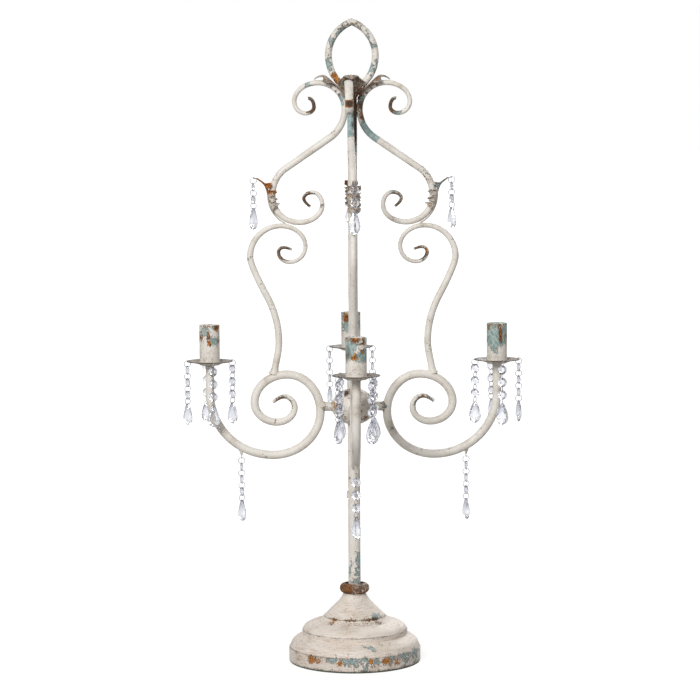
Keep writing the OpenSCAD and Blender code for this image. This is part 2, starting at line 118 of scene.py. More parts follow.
paintLook = {
    "creamLight": "#EDE8E0",
    "creamMid": "#E2DBD1",
    "creamDark": "#BFB3A4",
    "tealLight": "#AEC0BE",
    "tealDark": "#7F9C9E",
    "rustBright": "#D08C42",
    "rustMid": "#8F5A2B",
    "rustDark": "#46291A",
    "grimeAndShade": "#4A4238",
    "patchSize": 16,      # millimetres from one worn patch to the next
    "chipSize": 5,
    "speckSize": 1.9,     # finer in life, drawn as coarse as a pixel needs
    "tealCut": 0.66,
    "rustCut": 0.70,
    "speckCut": 0.70,
    "chipDepth": 0.35,
    "speckle": 0.3,       # share of the fine speckle in the cream's mottling
    "lift": 0.6,          # how strongly wear raises the pattern; less leaves the patches flecked
    "ragged": 0.0,        # share of the fine speckle in the patches' edges
    "upright": 1.0,       # less than 1 draws the pattern out up and down
    "rustGrain": "speck",
    "rustStops": (0.28, 0.44, 0.58),
    "streak": 0.0,        # share of brush streaks in the cream, on pieces that have a "brush" attribute
    "streakSize": 2.2,    # a brush hair's mark is finer, drawn as coarse as a pixel needs
}


# Chalky paint brushed over a teal undercoat on steel and rubbed through to rust by hand: a dry, matte,
# mottled coat with crisp-edged chips. The piece's "wear" attribute adds teal, rust and grime where it is worn,
# and on some pieces its rust and grime levels are painted shade.
def wornPaint(name, changes={}):
    look = {**paintLook, **changes}
    material, tree = newMaterial(name)
    out = addNode(tree, "ShaderNodeOutputMaterial")
    place = addNode(tree, "ShaderNodeTexCoord").outputs["Object"]
    place = addNode(tree, "ShaderNodeVectorMath", {"operation": "MULTIPLY", 1: (1, 1, look["upright"])},
                    {0: place}).outputs[0]
    brush = addNode(tree, "ShaderNodeAttribute", {"attribute_name": "brush"}).outputs["Vector"]
    wear = addNode(tree, "ShaderNodeAttribute", {"attribute_name": "wear"})
    level = addNode(tree, "ShaderNodeSeparateXYZ", links={"Vector": wear.outputs["Vector"]}).outputs

    pattern = {}
    for key, size, detail, roughness, distortion, at in (
        ("patch", look["patchSize"], 5, 0.6, 0.4, place), ("chip", look["chipSize"], 4, 0.6, 0.2, place),
        ("speck", look["speckSize"], 2, 0.6, 0, place), ("cloud", look["patchSize"] * 2.2, 3, 0.6, 0, place),
        ("streak", look["streakSize"], 3, 0.7, 0, brush),
    ):
        pattern[key] = addNode(tree, "ShaderNodeTexNoise", {
            "Scale": 1 / (size * mm), "Detail": detail, "Roughness": roughness, "Distortion": distortion,
        }, {"Vector": at}).outputs["Fac"]
    for key, first, second, share in (
        ("tealChips", "patch", "chip", 0.4), ("tealChips", "tealChips", "speck", look["ragged"]),
        ("rustChips", "chip", "speck", 0.4), ("dirtAndShade", "patch", "speck", 0.5),
        ("tone", "cloud", "speck", look["speckle"]), ("tone", "tone", "streak", look["streak"]),
    ):
        pattern[key] = addNode(tree, "ShaderNodeMix", {"Factor": share},
                               {"A": pattern[first], "B": pattern[second]}).outputs["Result"]

    # Where each layer shows: the pattern, raised by the wear and painted shade there, passes a cut
    mask = {}
    for key, chips, lift, at, soft in (
        ("tealEdge", "tealChips", "X", look["tealCut"] - 0.022, 0.014), ("teal", "tealChips", "X", look["tealCut"], 0.014),
        ("speck", "speck", "Y", look["speckCut"], 0.03),
        ("rustEdge", "rustChips", "Y", look["rustCut"] - 0.024, 0.016), ("rust", "rustChips", "Y", look["rustCut"], 0.016),
        ("grimeAndShade", "dirtAndShade", "Z", 0.78, 0.22),
    ):
        raised = addNode(tree, "ShaderNodeMath", {"operation": "MULTIPLY_ADD", 1: look["lift"]},
                         {0: level[lift], 2: pattern[chips]})
        mask[key] = addNode(tree, "ShaderNodeMapRange", {
            "interpolation_type": "SMOOTHSTEP", "From Min": at - soft, "From Max": at + soft,
        }, {"Value": raised.outputs[0]}).outputs["Result"]

    coat = {}
    for key, source, stops in (
        ("cream", "tone", [(0.34, "creamDark"), (0.45, "creamMid"), (0.56, "creamLight")]),
        ("teal", "chip", [(0.35, "tealDark"), (0.62, "tealLight")]),
        ("rust", look["rustGrain"], list(zip(look["rustStops"], ("rustDark", "rustMid", "rustBright")))),
        ("grimeAndShade", "speck", [(0.3, "rustDark"), (0.6, "grimeAndShade")]),
    ):
        coat[key] = addNode(tree, "ShaderNodeValToRGB", {"stops": [(at, look[colour]) for at, colour in stops]},
                            {"Fac": pattern[source]}).outputs["Color"]
    colour = coat["cream"]
    for where, layer in (("tealEdge", "grimeAndShade"), ("teal", "teal"), ("speck", "grimeAndShade"), ("rustEdge", "grimeAndShade"),
                         ("rust", "rust"), ("grimeAndShade", "grimeAndShade")):
        colour = addNode(tree, "ShaderNodeMix", {"data_type": "RGBA"},
                         {0: mask[where], 6: colour, 7: coat[layer]}).outputs[2]

    worn = addNode(tree, "ShaderNodeMath", {"operation": "MAXIMUM"}, {0: mask["teal"], 1: mask["rust"]})
    relief = addNode(tree, "ShaderNodeMath", {"operation": "MULTIPLY_ADD", 1: -1.0},
                     {0: worn.outputs[0], 2: pattern["chip"]})
    bump = addNode(tree, "ShaderNodeBump", {"Strength": 0.7, "Distance": look["chipDepth"] * mm},
                   {"Height": relief.outputs[0]})
    roughness = addNode(tree, "ShaderNodeMapRange", {"To Min": 0.5, "To Max": 0.88}, {"Value": mask["rust"]})
    shader = addNode(tree, "ShaderNodeBsdfPrincipled", {"Specular IOR Level": 0.35}, {
        "Base Color": colour, "Roughness": roughness.outputs["Result"], "Normal": bump.outputs["Normal"],
    })
    tree.links.new(shader.outputs[0], out.inputs["Surface"])
    return material


creamPaint = wornPaint("chalkPaintOverSteel")
footPaint = wornPaint("brushedChalkPaint", {
    "streak": 0.5, "chipSize": 3.2, "patchSize": 12, "ragged": 0.2, "creamLight": "#EEE4DA", "creamMid": "#DFD1C3",
    "creamDark": "#A8937F", "chipDepth": 0.5,
})
# The dish's cream is drawn darker than the other pieces': painted shade for the cup's shadow and the grazing light
dishPaint = wornPaint("thinChalkPaintOverSheet", {
    "chipSize": 3.5, "patchSize": 10, "speckCut": 0.64, "creamLight": "#DDD5C9", "creamMid": "#C6BCAE",
    "creamDark": "#978A7A",
})
cupPaint = wornPaint("rubbedThroughChalkPaint", {
    "tealCut": 0.55, "rustCut": 0.6, "speckCut": 0.64, "chipSize": 2.8, "patchSize": 8, "speckSize": 1.8,
    "lift": 0.42, "ragged": 0.36, "upright": 0.6, "speckle": 0.55, "rustGrain": "chip", "rustStops": (0.4, 0.52, 0.63),
    "tealDark": "#6F8A88", "tealLight": "#B4C4BF", "rustDark": "#4E2A18", "rustMid": "#8F5628",
    "rustBright": "#D2934A",
})
# The crown's cream is drawn far darker than the other pieces': painted shade for the undersides of the curled leaves
crownPaint = wornPaint("smokedPaintOnRibbedSheet", {
    "tealCut": 0.62, "rustCut": 0.6, "speckCut": 0.62, "chipSize": 3.5, "patchSize": 9, "rustBright": "#A5632F",
    "rustMid": "#6A4226", "rustDark": "#2E1A12", "creamLight": "#BFB4A5", "creamMid": "#978879",
    "creamDark": "#5E4F42",
})
leafPaint = wornPaint("chalkPaintOverRustySheet", {
    "tealCut": 0.62, "rustCut": 0.58, "speckCut": 0.62, "chipSize": 3.2, "patchSize": 9, "rustBright": "#C07A3A",
    "rustMid": "#7A4824", "rustDark": "#3A2216", "creamLight": "#E4DED3", "creamMid": "#C4BAAC",
    "creamDark": "#82766A",
})


# Machine-cut and polished crystal: clear with a faint lilac cast and sharp facets. The piece's "facet" attribute
# darkens those that look up, as they show the darker part of a room.
def crystalGlass(name):
    material, tree = newMaterial(name)
    out = addNode(tree, "ShaderNodeOutputMaterial")
    place = addNode(tree, "ShaderNodeTexCoord").outputs["Object"]
    swirl = addNode(tree, "ShaderNodeTexNoise", {"Scale": 180, "Detail": 1}, {"Vector": place})
    bump = addNode(tree, "ShaderNodeBump", {"Strength": 0.05, "Distance": 0.1 * mm}, {"Height": swirl.outputs["Fac"]})
    # Painted shade: the tint darkens to near black towards the grazing edges, standing for the dark edges that cut
    # crystal shows
    facing = addNode(tree, "ShaderNodeLayerWeight", {"Blend": 0.5}).outputs["Facing"]
    rim = addNode(tree, "ShaderNodeValToRGB", {"stops": [(0, "#EEEFF2"), (0.35, "#C8C9D0"), (1, "#26272C")]},
                  {"Fac": facing})
    facet = addNode(tree, "ShaderNodeAttribute", {"attribute_name": "facet"})
    room = addNode(tree, "ShaderNodeValToRGB", {"stops": [(0.42, "#FFFFFF"), (0.56, "#E9EAEE"), (0.85, "#9EA1AC")]},
                   {"Fac": facet.outputs["Fac"]})
    tint = addNode(tree, "ShaderNodeMix", {"data_type": "RGBA", "blend_type": "MULTIPLY", 0: 1.0},
                   {6: rim.outputs["Color"], 7: room.outputs["Color"]})
    shader = addNode(tree, "ShaderNodeBsdfPrincipled", {
        "Roughness": 0.015, "IOR": 1.55, "Transmission Weight": 1.0,
    }, {"Base Color": tint.outputs[2], "Normal": bump.outputs["Normal"]})
    tree.links.new(shader.outputs[0], out.inputs["Surface"])
    return material


# Nickel-plated steel wire, drawn and bent into rings: grey, with a soft stretched shine
def platedWire(name):
    material, tree = newMaterial(name)
    out = addNode(tree, "ShaderNodeOutputMaterial")
    place = addNode(tree, "ShaderNodeTexCoord").outputs["Object"]
    dull = addNode(tree, "ShaderNodeTexNoise", {"Scale": 900, "Detail": 2}, {"Vector": place})
    roughness = addNode(tree, "ShaderNodeMapRange", {"To Min": 0.22, "To Max": 0.45}, {"Value": dull.outputs["Fac"]})
    tint = addNode(tree, "ShaderNodeValToRGB", {"stops": [(0, "#707178"), (1, "#A2A2AA")]},
                   {"Fac": dull.outputs["Fac"]})
    shader = addNode(tree, "ShaderNodeBsdfPrincipled", {"Metallic": 1.0},
                     {"Base Color": tint.outputs["Color"], "Roughness": roughness.outputs["Result"]})
    tree.links.new(shader.outputs[0], out.inputs["Surface"])
    return material


# A plain material with a two-colour grain, for what is hidden under the base
def grained(name, dark, light, size, roughness, metallic=0.0, sheen=0.0):
    material, tree = newMaterial(name)
    out = addNode(tree, "ShaderNodeOutputMaterial")
    place = addNode(tree, "ShaderNodeTexCoord").outputs["Object"]
    grain = addNode(tree, "ShaderNodeTexNoise", {"Scale": 1 / (size * mm), "Detail": 4}, {"Vector": place})
    tint = addNode(tree, "ShaderNodeValToRGB", {"stops": [(0.3, dark), (0.7, light)]}, {"Fac": grain.outputs["Fac"]})
    bump = addNode(tree, "ShaderNodeBump", {"Strength": 0.5, "Distance": size * mm / 5},
                   {"Height": grain.outputs["Fac"]})
    shader = addNode(tree, "ShaderNodeBsdfPrincipled", {
        "Roughness": roughness, "Metallic": metallic, "Sheen Weight": sheen,
    }, {"Base Color": tint.outputs["Color"], "Normal": bump.outputs["Normal"]})
    tree.links.new(shader.outputs[0], out.inputs["Surface"])
    return material


crystal = crystalGlass("cutCrystal")
wire = platedWire("nickelPlatedWire")
castIron = grained("sandCastIron", "#2E2B28", "#4F4B46", 1.2, 0.75, 0.6)       # rough and dark from the mould
woolFelt = grained("pressedWoolFelt", "#2F3A2C", "#4A5845", 0.9, 0.95, 0, 0.6)  # matted fibres, no shine
zincSteel = grained("zincPlatedSteel", "#86898C", "#AEB1B4", 3, 0.38, 1.0)      # pale grey, slightly cloudy

for nodeName, node in cadNodes.items():
    finish = creamPaint
    if "strand" in nodeName:
        finish = crystal
    elif nodeName == "base_weight":
        finish = castIron
    elif nodeName == "felt_pad":
        finish = woolFelt
    elif nodeName == "base_nut":
        finish = zincSteel
    elif nodeName in ("crown_leaves", "base_collar", "arm_hooks") or "clasp" in nodeName:
        finish = leafPaint
    elif "cup" in nodeName or "post" in nodeName:
        finish = cupPaint
    node.data.materials.clear()
    node.data.materials.append(finish)
print("materials ready")

# Floor, background and light

studio = {
    "floorReach": 30,
    "floorShadow": 0.34,     # how much of the lit floor the camera sees over plain white, next to the base
    "shadowReach": 0.8,      # metres from the stem to where the floor is plain white
    "floorWhite": 1.2,
    "worldLight": 0.27,
    "keyPlace": (-1.15, -3.15, 2.3),
    "keySize": 1.3,
    "keyPower": 105,
    "fillPlace": (1.6, 3.0, 2.0),    # keeps the back from going dark
    "fillSize": 2.5,
    "fillPower": 62,
}


def makeStudio(values):
    reach = values["floorReach"]
    floorMesh = bpy.data.meshes.new("floor")
    floorMesh.from_pydata([(-reach, -reach, 0), (reach, -reach, 0), (reach, reach, 0), (-reach, reach, 0)],
                          [], [(0, 1, 2, 3)])
    floor = bpy.data.objects.new("floor", floorMesh)
    bpy.context.scene.collection.objects.link(floor)
    material, tree = newMaterial("palePaper")
    out = addNode(tree, "ShaderNodeOutputMaterial")
    path = addNode(tree, "ShaderNodeLightPath").outputs
    seen = path["Is Camera Ray"]
    for ray in ("Is Transmission Ray", "Is Glossy Ray"):
        seen = addNode(tree, "ShaderNodeMath", {"operation": "MAXIMUM"}, {0: seen, 1: path[ray]}).outputs[0]
    paper = addNode(tree, "ShaderNodeBsdfDiffuse", {"Color": linear("#F4F3F1")})
    dimmed = addNode(tree, "ShaderNodeBsdfDiffuse", {"Color": linear("#A9A7A4")})
    white = addNode(tree, "ShaderNodeEmission", {"Color": linear("#FFFFFF"), "Strength": values["floorWhite"]})
    place = addNode(tree, "ShaderNodeTexCoord").outputs["Object"]
    away = addNode(tree, "ShaderNodeVectorMath", {"operation": "LENGTH"}, {0: place})
    share = addNode(tree, "ShaderNodeMapRange", {
        "From Min": 0.2, "From Max": values["shadowReach"], "To Min": 1 - values["floorShadow"], "To Max": 1.0,
    }, {"Value": away.outputs["Value"]})
    whiter = addNode(tree, "ShaderNodeMixShader", {},
                     {"Fac": share.outputs["Result"], 1: paper.outputs[0], 2: white.outputs[0]})
    shown = addNode(tree, "ShaderNodeMixShader", {},
                    {"Fac": seen, 1: dimmed.outputs[0], 2: whiter.outputs[0]})
    tree.links.new(shown.outputs[0], out.inputs["Surface"])
    floorMesh.materials.append(material)

    world = bpy.data.worlds.new("whiteStudio")
    bpy.context.scene.world = world
    world.use_nodes = True
    tree = world.node_tree
    tree.nodes.clear()
    out = addNode(tree, "ShaderNodeOutputWorld")
    path = addNode(tree, "ShaderNodeLightPath").outputs
    seen = path["Is Camera Ray"]
    for ray in ("Is Transmission Ray", "Is Glossy Ray"):
        seen = addNode(tree, "ShaderNodeMath", {"operation": "MAXIMUM"}, {0: seen, 1: path[ray]}).outputs[0]
    soft = addNode(tree, "ShaderNodeBackground", {"Color": linear("#FFFFFF"), "Strength": values["worldLight"]})
    bright = addNode(tree, "ShaderNodeBackground", {"Color": linear("#FFFFFF"), "Strength": 1.0})
    both = addNode(tree, "ShaderNodeMixShader", {},
                   {"Fac": seen, 1: soft.outputs[0], 2: bright.outputs[0]})
    tree.links.new(both.outputs[0], out.inputs["Surface"])

    for name in ("key", "fill"):
        data = bpy.data.lights.new(name + "Light", "AREA")
        data.size = values[name + "Size"]
        data.energy = values[name + "Power"]
        lamp = bpy.data.objects.new(name + "Light", data)
        bpy.context.scene.collection.objects.link(lamp)
        place = Vector(values[name + "Place"])
        aim = Vector((0, 0, 0.42)) - place
        lamp.matrix_world = Matrix.Translation(place) @ aim.to_track_quat("-Z", "Y").to_matrix().to_4x4()
    bpy.context.scene.view_settings.view_transform = "Standard"


makeStudio(studio)
print("studio ready")

# Curves that run through knots [across, up, heading in degrees, diameter], all in millimetres


def unit(degrees):
    return np.array([math.cos(math.radians(degrees)), math.sin(math.radians(degrees))])


def cross2(u, v):
    return u[0] * v[1] - u[1] * v[0]


def stretch(p, q, steps):
    a, d, u, v = np.array(p[:2], float), np.array(q[:2], float), unit(p[2]), unit(q[2])
    gap, c = d - a, cross2(u, v)
    turn = abs((q[2] - p[2] + 540) % 360 - 180)
    reach = (cross2(gap, v) / c, cross2(u, gap) / c) if abs(c) > 0.002 else (0, 0)
    if min(reach) > 0:
        k = 0.667 if turn < 1 else 4 / 3 * math.tan(math.radians(turn / 4)) / math.tan(math.radians(turn / 2))
        pulls = [r * k for r in reach]
    else:
        pulls = [np.linalg.norm(gap) / 3] * 2
    b, c = a + u * pulls[0], d - v * pulls[1]
    return [a * (1 - s) ** 3 + 3 * b * s * (1 - s) ** 2 + 3 * c * s * s * (1 - s) + d * s ** 3
            for s in np.linspace(0, 1, steps + 1)]


def curve(knots, steps):
    points = []
    for p, q in zip(knots[:-1], knots[1:]):
        line = stretch(p, q, steps)
        shares = np.linspace(0, 1, steps + 1)
        first = 0 if not points else 1
        for s, xz in list(zip(shares, line))[first:]:
            wide = p[3] * (1 - s) + q[3] * s if len(p) > 3 else 0
            points.append([xz[0], xz[1], wide])
    return np.array(points)


# Turns a point list [across, up, ...] into places on side number i
def onSide(i, across, sideways, up):
    a = math.radians(90 * i)
    return ((across * math.cos(a) - sideways * math.sin(a)) * mm,
            (across * math.sin(a) + sideways * math.cos(a)) * mm, up * mm)


sideTurn = [Matrix.Rotation(math.radians(90 * i), 4, "Z") for i in range(4)]


def makePiece(name, mesh, body, material=None, replaced=()):
    mesh.name = name
    piece = bpy.data.objects.new(name, mesh)
    bpy.context.scene.collection.objects.link(piece)
    if material:
        mesh.materials.clear()
        mesh.materials.append(material)
    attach(piece, body)
    if replaced:
        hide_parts(*replaced)
    return piece


# Writes the "wear" attribute: base is (teal, rust, grime) or a function of the points, and each spot is
# (x, y, z, radius, teal, rust, grime) in millimetres. On some pieces the rust and grime levels are painted shade.
def paintWearAndShade(mesh, base=(0, 0, 0), spots=()):
    points = np.empty(len(mesh.vertices) * 3)
    mesh.vertices.foreach_get("co", points)
    points = points.reshape(-1, 3) / mm
    levels = base(points) if callable(base) else np.tile(np.array(base, float), (len(points), 1))
    for spot in spots:
        away = np.linalg.norm(points - np.array(spot[:3]), axis=1) / spot[3]
        levels += np.clip(1 - away ** 2, 0, 1)[:, None] * np.array(spot[4:])
    wear = mesh.attributes.new("wear", "FLOAT_VECTOR", "POINT")
    wear.data.foreach_set("vector", levels.ravel())


# Geometry Nodes: a tree with named inputs, and a call that runs it and keeps the result as a plain mesh


def newTree(name, inputs):
    tree = bpy.data.node_groups.new(name, "GeometryNodeTree")
    tree.interface.new_socket(name="Geometry", in_out="INPUT", socket_type="NodeSocketGeometry")
    places = {}
    for label, kind in inputs:
        places[label] = tree.interface.new_socket(name=label, in_out="INPUT", socket_type="NodeSocket" + kind).identifier
    tree.interface.new_socket(name="Geometry", in_out="OUTPUT", socket_type="NodeSocketGeometry")
    return tree, addNode(tree, "NodeGroupInput").outputs, places


def runTree(tree, places, source, values):
    holder = bpy.data.objects.new("treeHolder", source)
    bpy.context.scene.collection.objects.link(holder)
    modifier = holder.modifiers.new("nodes", "NODES")
    modifier.node_group = tree
    for label, value in values.items():
        modifier[places[label]] = value
    depsgraph = bpy.context.evaluated_depsgraph_get()
    mesh = bpy.data.meshes.new_from_object(holder.evaluated_get(depsgraph), depsgraph=depsgraph)
    holder.modifiers.clear()
    bpy.data.objects.remove(holder)
    return mesh


# Tube along a path mesh whose points hold their radius
def roundTubeTree():
    tree, given, places = newTree("roundTube", [("Sides", "Int"), ("Material", "Material")])
    radius = addNode(tree, "GeometryNodeInputNamedAttribute", {"data_type": "FLOAT", "Name": "tubeRadius"})
    path = addNode(tree, "GeometryNodeMeshToCurve", links={"Mesh": given["Geometry"]})
    ring = addNode(tree, "GeometryNodeCurvePrimitiveCircle", {"Radius": 1.0}, {"Resolution": given["Sides"]})
    sweep = addNode(tree, "GeometryNodeCurveToMesh", {"Fill Caps": True}, {
        "Curve": path.outputs[0], "Profile Curve": ring.outputs[0], "Scale": radius.outputs[0],
    })
    smooth = addNode(tree, "GeometryNodeSetShadeSmooth", links={"Geometry": sweep.outputs[0]})
    real = addNode(tree, "GeometryNodeRealizeInstances", links={"Geometry": smooth.outputs[0]})
    painted = addNode(tree, "GeometryNodeSetMaterial",
                      links={"Geometry": real.outputs[0], "Material": given["Material"]})
    addNode(tree, "NodeGroupOutput", links={0: painted.outputs[0]})
    return tree, places


roundTube = roundTubeTree()


def sweepTube(points, i=0, sidesRound=20, material=creamPaint):
    path = bpy.data.meshes.new("path")
    path.from_pydata([onSide(i, p[0], 0, p[1]) for p in points], [(k, k + 1) for k in range(len(points) - 1)], [])
    radius = path.attributes.new("tubeRadius", "FLOAT", "POINT")
    radius.data.foreach_set("value", [p[2] / 2 * mm for p in points])
    return runTree(*roundTube, path, {"Sides": sidesRound, "Material": material})


# The steel tubes: arms, scrolls and the loop

tubes = {
    "steps": 18,
    "weldExtra": 4.2, "weldReach": 5.5,
    "armKnots": [
        [195, 410, 270, 11.7], [195, 367.16, 270, 11.7], [109.671, 284, 180, 11.7], [45.3, 343.22, 90, 11.7],
        [90.21, 393.998, 0, 11.6], [134.671, 355.946, 270, 11.3], [103.833, 328.982, 180, 10.4],
        [80.18, 349.016, 90, 8.4], [94.402, 364.01, 0, 6.2], [109.521, 356.45, 320, 4.5],
    ],
    "middleKnots": [
        [108.3, 394.5, 98, 9.4], [107.5, 396.981, 98, 9.4], [100.975, 438.771, 90, 9.4], [116.5, 500.461, 62, 9.4],
        [139, 554.191, 90, 8.8], [97.6, 595.981, 180, 6.8], [64, 568.32, 270, 5.8], [85.75, 546.828, 0, 5.5],
        [100.6, 560.161, 90, 5.0], [93.85, 566.728, 180, 4.4], [82.375, 563.743, 205, 3.3],
    ],
    "upperKnots": [
        [59.27, 766.981, 160, 4.4], [51.292, 755.731, 270, 5.0], [62.028, 747.106, 0, 5.6],
        [77.788, 763.044, 90, 6.2], [45.874, 787.981, 180, 7.0], [10.02, 752.544, 270, 8.4],
        [30.41, 714.106, 326, 9.5], [90.79, 672.856, 326, 9.5], [108.52, 636.106, 270, 9.4],
        [71.977, 600.481, 180, 7.6], [41.048, 623.919, 90, 6.4], [53.754, 640.981, 0, 5.7],
        [65.87, 632.919, 270, 4.7], [57.005, 621.669, 215, 3.5],
    ],
    "loopKnots": [
        [5.2, 771.981, 90, 9.4], [12.301, 782.761, 50, 9.4], [24.662, 798.441, 60, 9.4],
        [31.5, 824.901, 90, 9.4], [0, 869.2, 160, 9.4],
    ],
}


# x, y, z, radius, teal, rust, grime and painted shade
tubeSpots = {
    "rightUpper": [
        [10, 0, 752, 16, 0.05, 0.34, 0.5], [16, -4, 740, 8, 0, 0.3, 0.4], [19, 0, 728, 15, 0.55, 0, 0], [29, 0, 716, 12, 0.5, 0, 0],
        [42, 0, 706, 5, 0.1, 0.2, 0.3], [20, -3, 775, 3, 0, 0.1, 0.9], [26, -3, 781, 3, 0, 0.1, 0.9],
        [33, -3, 785, 3, 0, 0.1, 0.9], [100, 0, 664, 18, 0.05, 0.2, 0.1], [77, 0, 680, 10, 0, 0.16, 0.1],
        [14, 0, 765, 14, 0.2, 0.1, 0.3], [55, 0, 603, 16, 0.1, 0.1, 0.3],
    ],
    "leftUpper": [
        [-17, -3, 772, 3, 0, 0.1, 0.9], [-22, -3, 777, 3, 0, 0.1, 0.9], [-28, -3, 782, 2.5, 0, 0.1, 0.9],
        [-58, 0, 784, 22, 0.2, 0, 0.1], [-14, 0, 765, 14, 0.3, 0, 0.2], [-24, 0, 722, 12, 0.1, 0.12, 0.15],
        [-16, 0, 732, 6, 0, 0.2, 0.3], [-100, 0, 664, 14, 0, 0.16, 0.1], [-40, 0, 624, 10, 0.2, 0.1, 0.2],
    ],
    "frontUpper": [
        [-5, -76, 778, 13, -0.3, -0.5, -0.4], [-9, -79, 760, 7, -0.2, 0.6, 0.45], [-5, -81, 760, 6, -0.2, 0.6, 0.35],
        [-1, -79, 760, 7, -0.2, 0.6, 0.45], [-4, -71, 750, 6, 0.5, 0, -0.1], [-9, -70, 750, 6, -0.1, 0.1, 0.1],
        [-2, -13, 744, 10, 0.6, -0.2, -0.1], [-3, -18, 731, 12, 0.5, 0, 0], [-3, -28, 718, 10, 0.45, 0, 0],
        # The last three spots, at x 2.5 to 3, are painted shade: rust and grime darken the tube's right edge, as on the
        # stem's right side behind it
        [-4, -38, 708, 7, 0.5, 0, 0], [2.5, -15, 746, 7, 0, 0.3, 0.8], [2.5, -21, 733, 7, 0, 0.3, 0.8],
        [3, -29, 720, 6, 0, 0.2, 0.5],
    ],
    "backUpper": [[0, 12, 755, 12, 0.2, 0.3, 0.3], [0, 24, 722, 16, 0.5, 0, 0], [0, 60, 786, 14, 0.1, 0.2, 0.2]],
    "rightMiddle": [[139, 0, 555, 14, 0.12, 0.06, 0.1], [104, 0, 430, 14, 0, 0.12, 0.1]],
    "leftMiddle": [[-107, 0, 400, 8, 0.1, 0.2, 0.2], [-120, 0, 510, 14, 0.1, 0.1, 0]],
    "rightArm": [[52, 0, 320, 14, 0.05, 0.1, 0.2], [170, 0, 312, 14, 0.12, 0.05, 0.1]],
    "leftArm": [[-46, 0, 352, 8, 0.1, 0.14, 0.2], [-88, 0, 329, 12, 0.1, 0.12, 0.1]],
    "loop": [
        [-24, -3, 797, 6, 0, 0.6, 0], [-19, -3, 790, 6, 0, 0.62, 0], [-30, 0, 812, 12, 0.32, 0, 0.1],
        [-27, 0, 843, 12, 0.3, 0.1, 0.15], [-16, 0, 857, 10, 0.28, 0.05, 0.2], [-8, 0, 862, 14, 0.1, 0.16, 0.25], [10, 0, 862, 10, 0.1, 0.1, 0.3],
        [27, 0, 842, 12, 0.2, 0.02, 0.2], [28, 0, 806, 14, 0.3, 0, 0.1], [14, 0, 786, 8, 0.1, 0.3, 0.2],
    ],
}


# The front scroll's upper curl, bent a little to the left and hammered flat when it was made
frontBend = {
    "upper": {"shift": -2.4, "from": 640, "to": 700, "curlFoot": 735, "lean": -3.0, "widen": 0.7, "outFrom": 24, "outTo": 44},
    "middle": {"shift": -1.9, "from": 394, "to": 430, "curlFoot": 735, "lean": 0, "widen": 0, "outFrom": 24, "outTo": 44},
}


def bendFront(mesh, v):
    points = np.empty(len(mesh.vertices) * 3)
    mesh.vertices.foreach_get("co", points)
    points = points.reshape(-1, 3) / mm
    up = np.clip((points[:, 2] - v["from"]) / (v["to"] - v["from"]), 0, 1)
    out = (points[:, 2] > v["curlFoot"]) * np.clip((-points[:, 1] - v["outFrom"]) / (v["outTo"] - v["outFrom"]), 0, 1)
    points[:, 0] = points[:, 0] * (1 + v["widen"] * out) + v["shift"] * up + v["lean"] * out
    mesh.vertices.foreach_set("co", (points * mm).ravel())


# Each curl's eye is rubbed to dark rust; tips are (x, y, z, reach) in millimetres
def tipWear(tips):
    def levels(points):
        near = np.zeros(len(points))
        for tip in tips:
            away = np.linalg.norm(points - np.array(tip[:3]), axis=1)
            near = np.maximum(near, np.clip(2 - 2 * away / tip[3], 0, 1))
        return np.stack([near * 0.3, near * 0.36, near * 0.6], 1)
    return levels


# Widens a path's start to a weld that is run round its foot
def flared(path, extra, reach):
    away = np.linalg.norm(path[:, :2] - path[0, :2], axis=1)
    path[:, 2] += extra * np.exp(-(away / reach) ** 2)
    return path


for i, side in enumerate(sides):
    for kind, node, eyes in (
        ("arm", "lower_arm", [[96, 353, 18]]), ("middle", "middle_scroll", [[92, 559, 15]]),
        ("upper", "upper_scroll", [[55, 758, 16], [59, 631, 15]]),
    ):
        path = curve(tubes[kind + "Knots"], tubes["steps"])
        if kind == "middle":
            path = flared(path, tubes["weldExtra"], tubes["weldReach"])
        mesh = sweepTube(path, i)
        if side == "front" and kind in frontBend:
            bendFront(mesh, frontBend[kind])
        tips = [(*np.array(onSide(i, out, 0, up)) / mm, reach) for out, up, reach in eyes]
        paintWearAndShade(mesh, tipWear(tips), tubeSpots.get(side + kind.capitalize(), ()))
        makePiece(side + kind.capitalize() + "Tube", mesh, rootBody, None, [side + "_" + node])

loopHalf = curve(tubes["loopKnots"], tubes["steps"])
loopPath = np.concatenate([loopHalf, loopHalf[-2::-1] * [-1, 1, 1]])
loopMesh = sweepTube(loopPath)
paintWearAndShade(loopMesh, (0.06, 0.05, 0.12), tubeSpots["loop"])
makePiece("carryingLoop", loopMesh, rootBody, None, ["finial_loop"])
print("tubes made")

# Solids of revolution: base, stem, ball, plates and cups


# Closed mesh turned from a profile of [radius, height] points in millimetres; a profile that doesn't start and
# end on the axis is a ring and closes on itself
def turnProfile(profile, around=96, centre=(0, 0), closed=True):
    ring, faces, verts = [], [], []
    for radius, height in profile:
        if radius < 1e-6:
            ring.append([len(verts)] * around)
            verts.append((centre[0] * mm, centre[1] * mm, height * mm))
        else:
            ring.append(list(range(len(verts), len(verts) + around)))
            for k in range(around):
                a = 2 * math.pi * k / around
                verts.append(((centre[0] + radius * math.cos(a)) * mm, (centre[1] + radius * math.sin(a)) * mm,
                              height * mm))
    rows = list(zip(ring, ring[1:]))
    if profile[0][0] > 1e-6 or profile[-1][0] > 1e-6:
        rows.append((ring[-1], ring[0]))
    for low, high in rows:
        for k in range(around):
            face = [low[k], low[(k + 1) % around], high[(k + 1) % around], high[k]]
            face = [v for n, v in enumerate(face) if v != face[n - 1]]
            if len(face) > 2:
                faces.append(face)
    mesh = bpy.data.meshes.new("turned")
    mesh.from_pydata(verts, [], faces)
    mesh.shade_smooth()
    return mesh


def sharpen(mesh, degrees=32):
    mesh.set_sharp_from_angle(angle=math.radians(degrees))
    return mesh


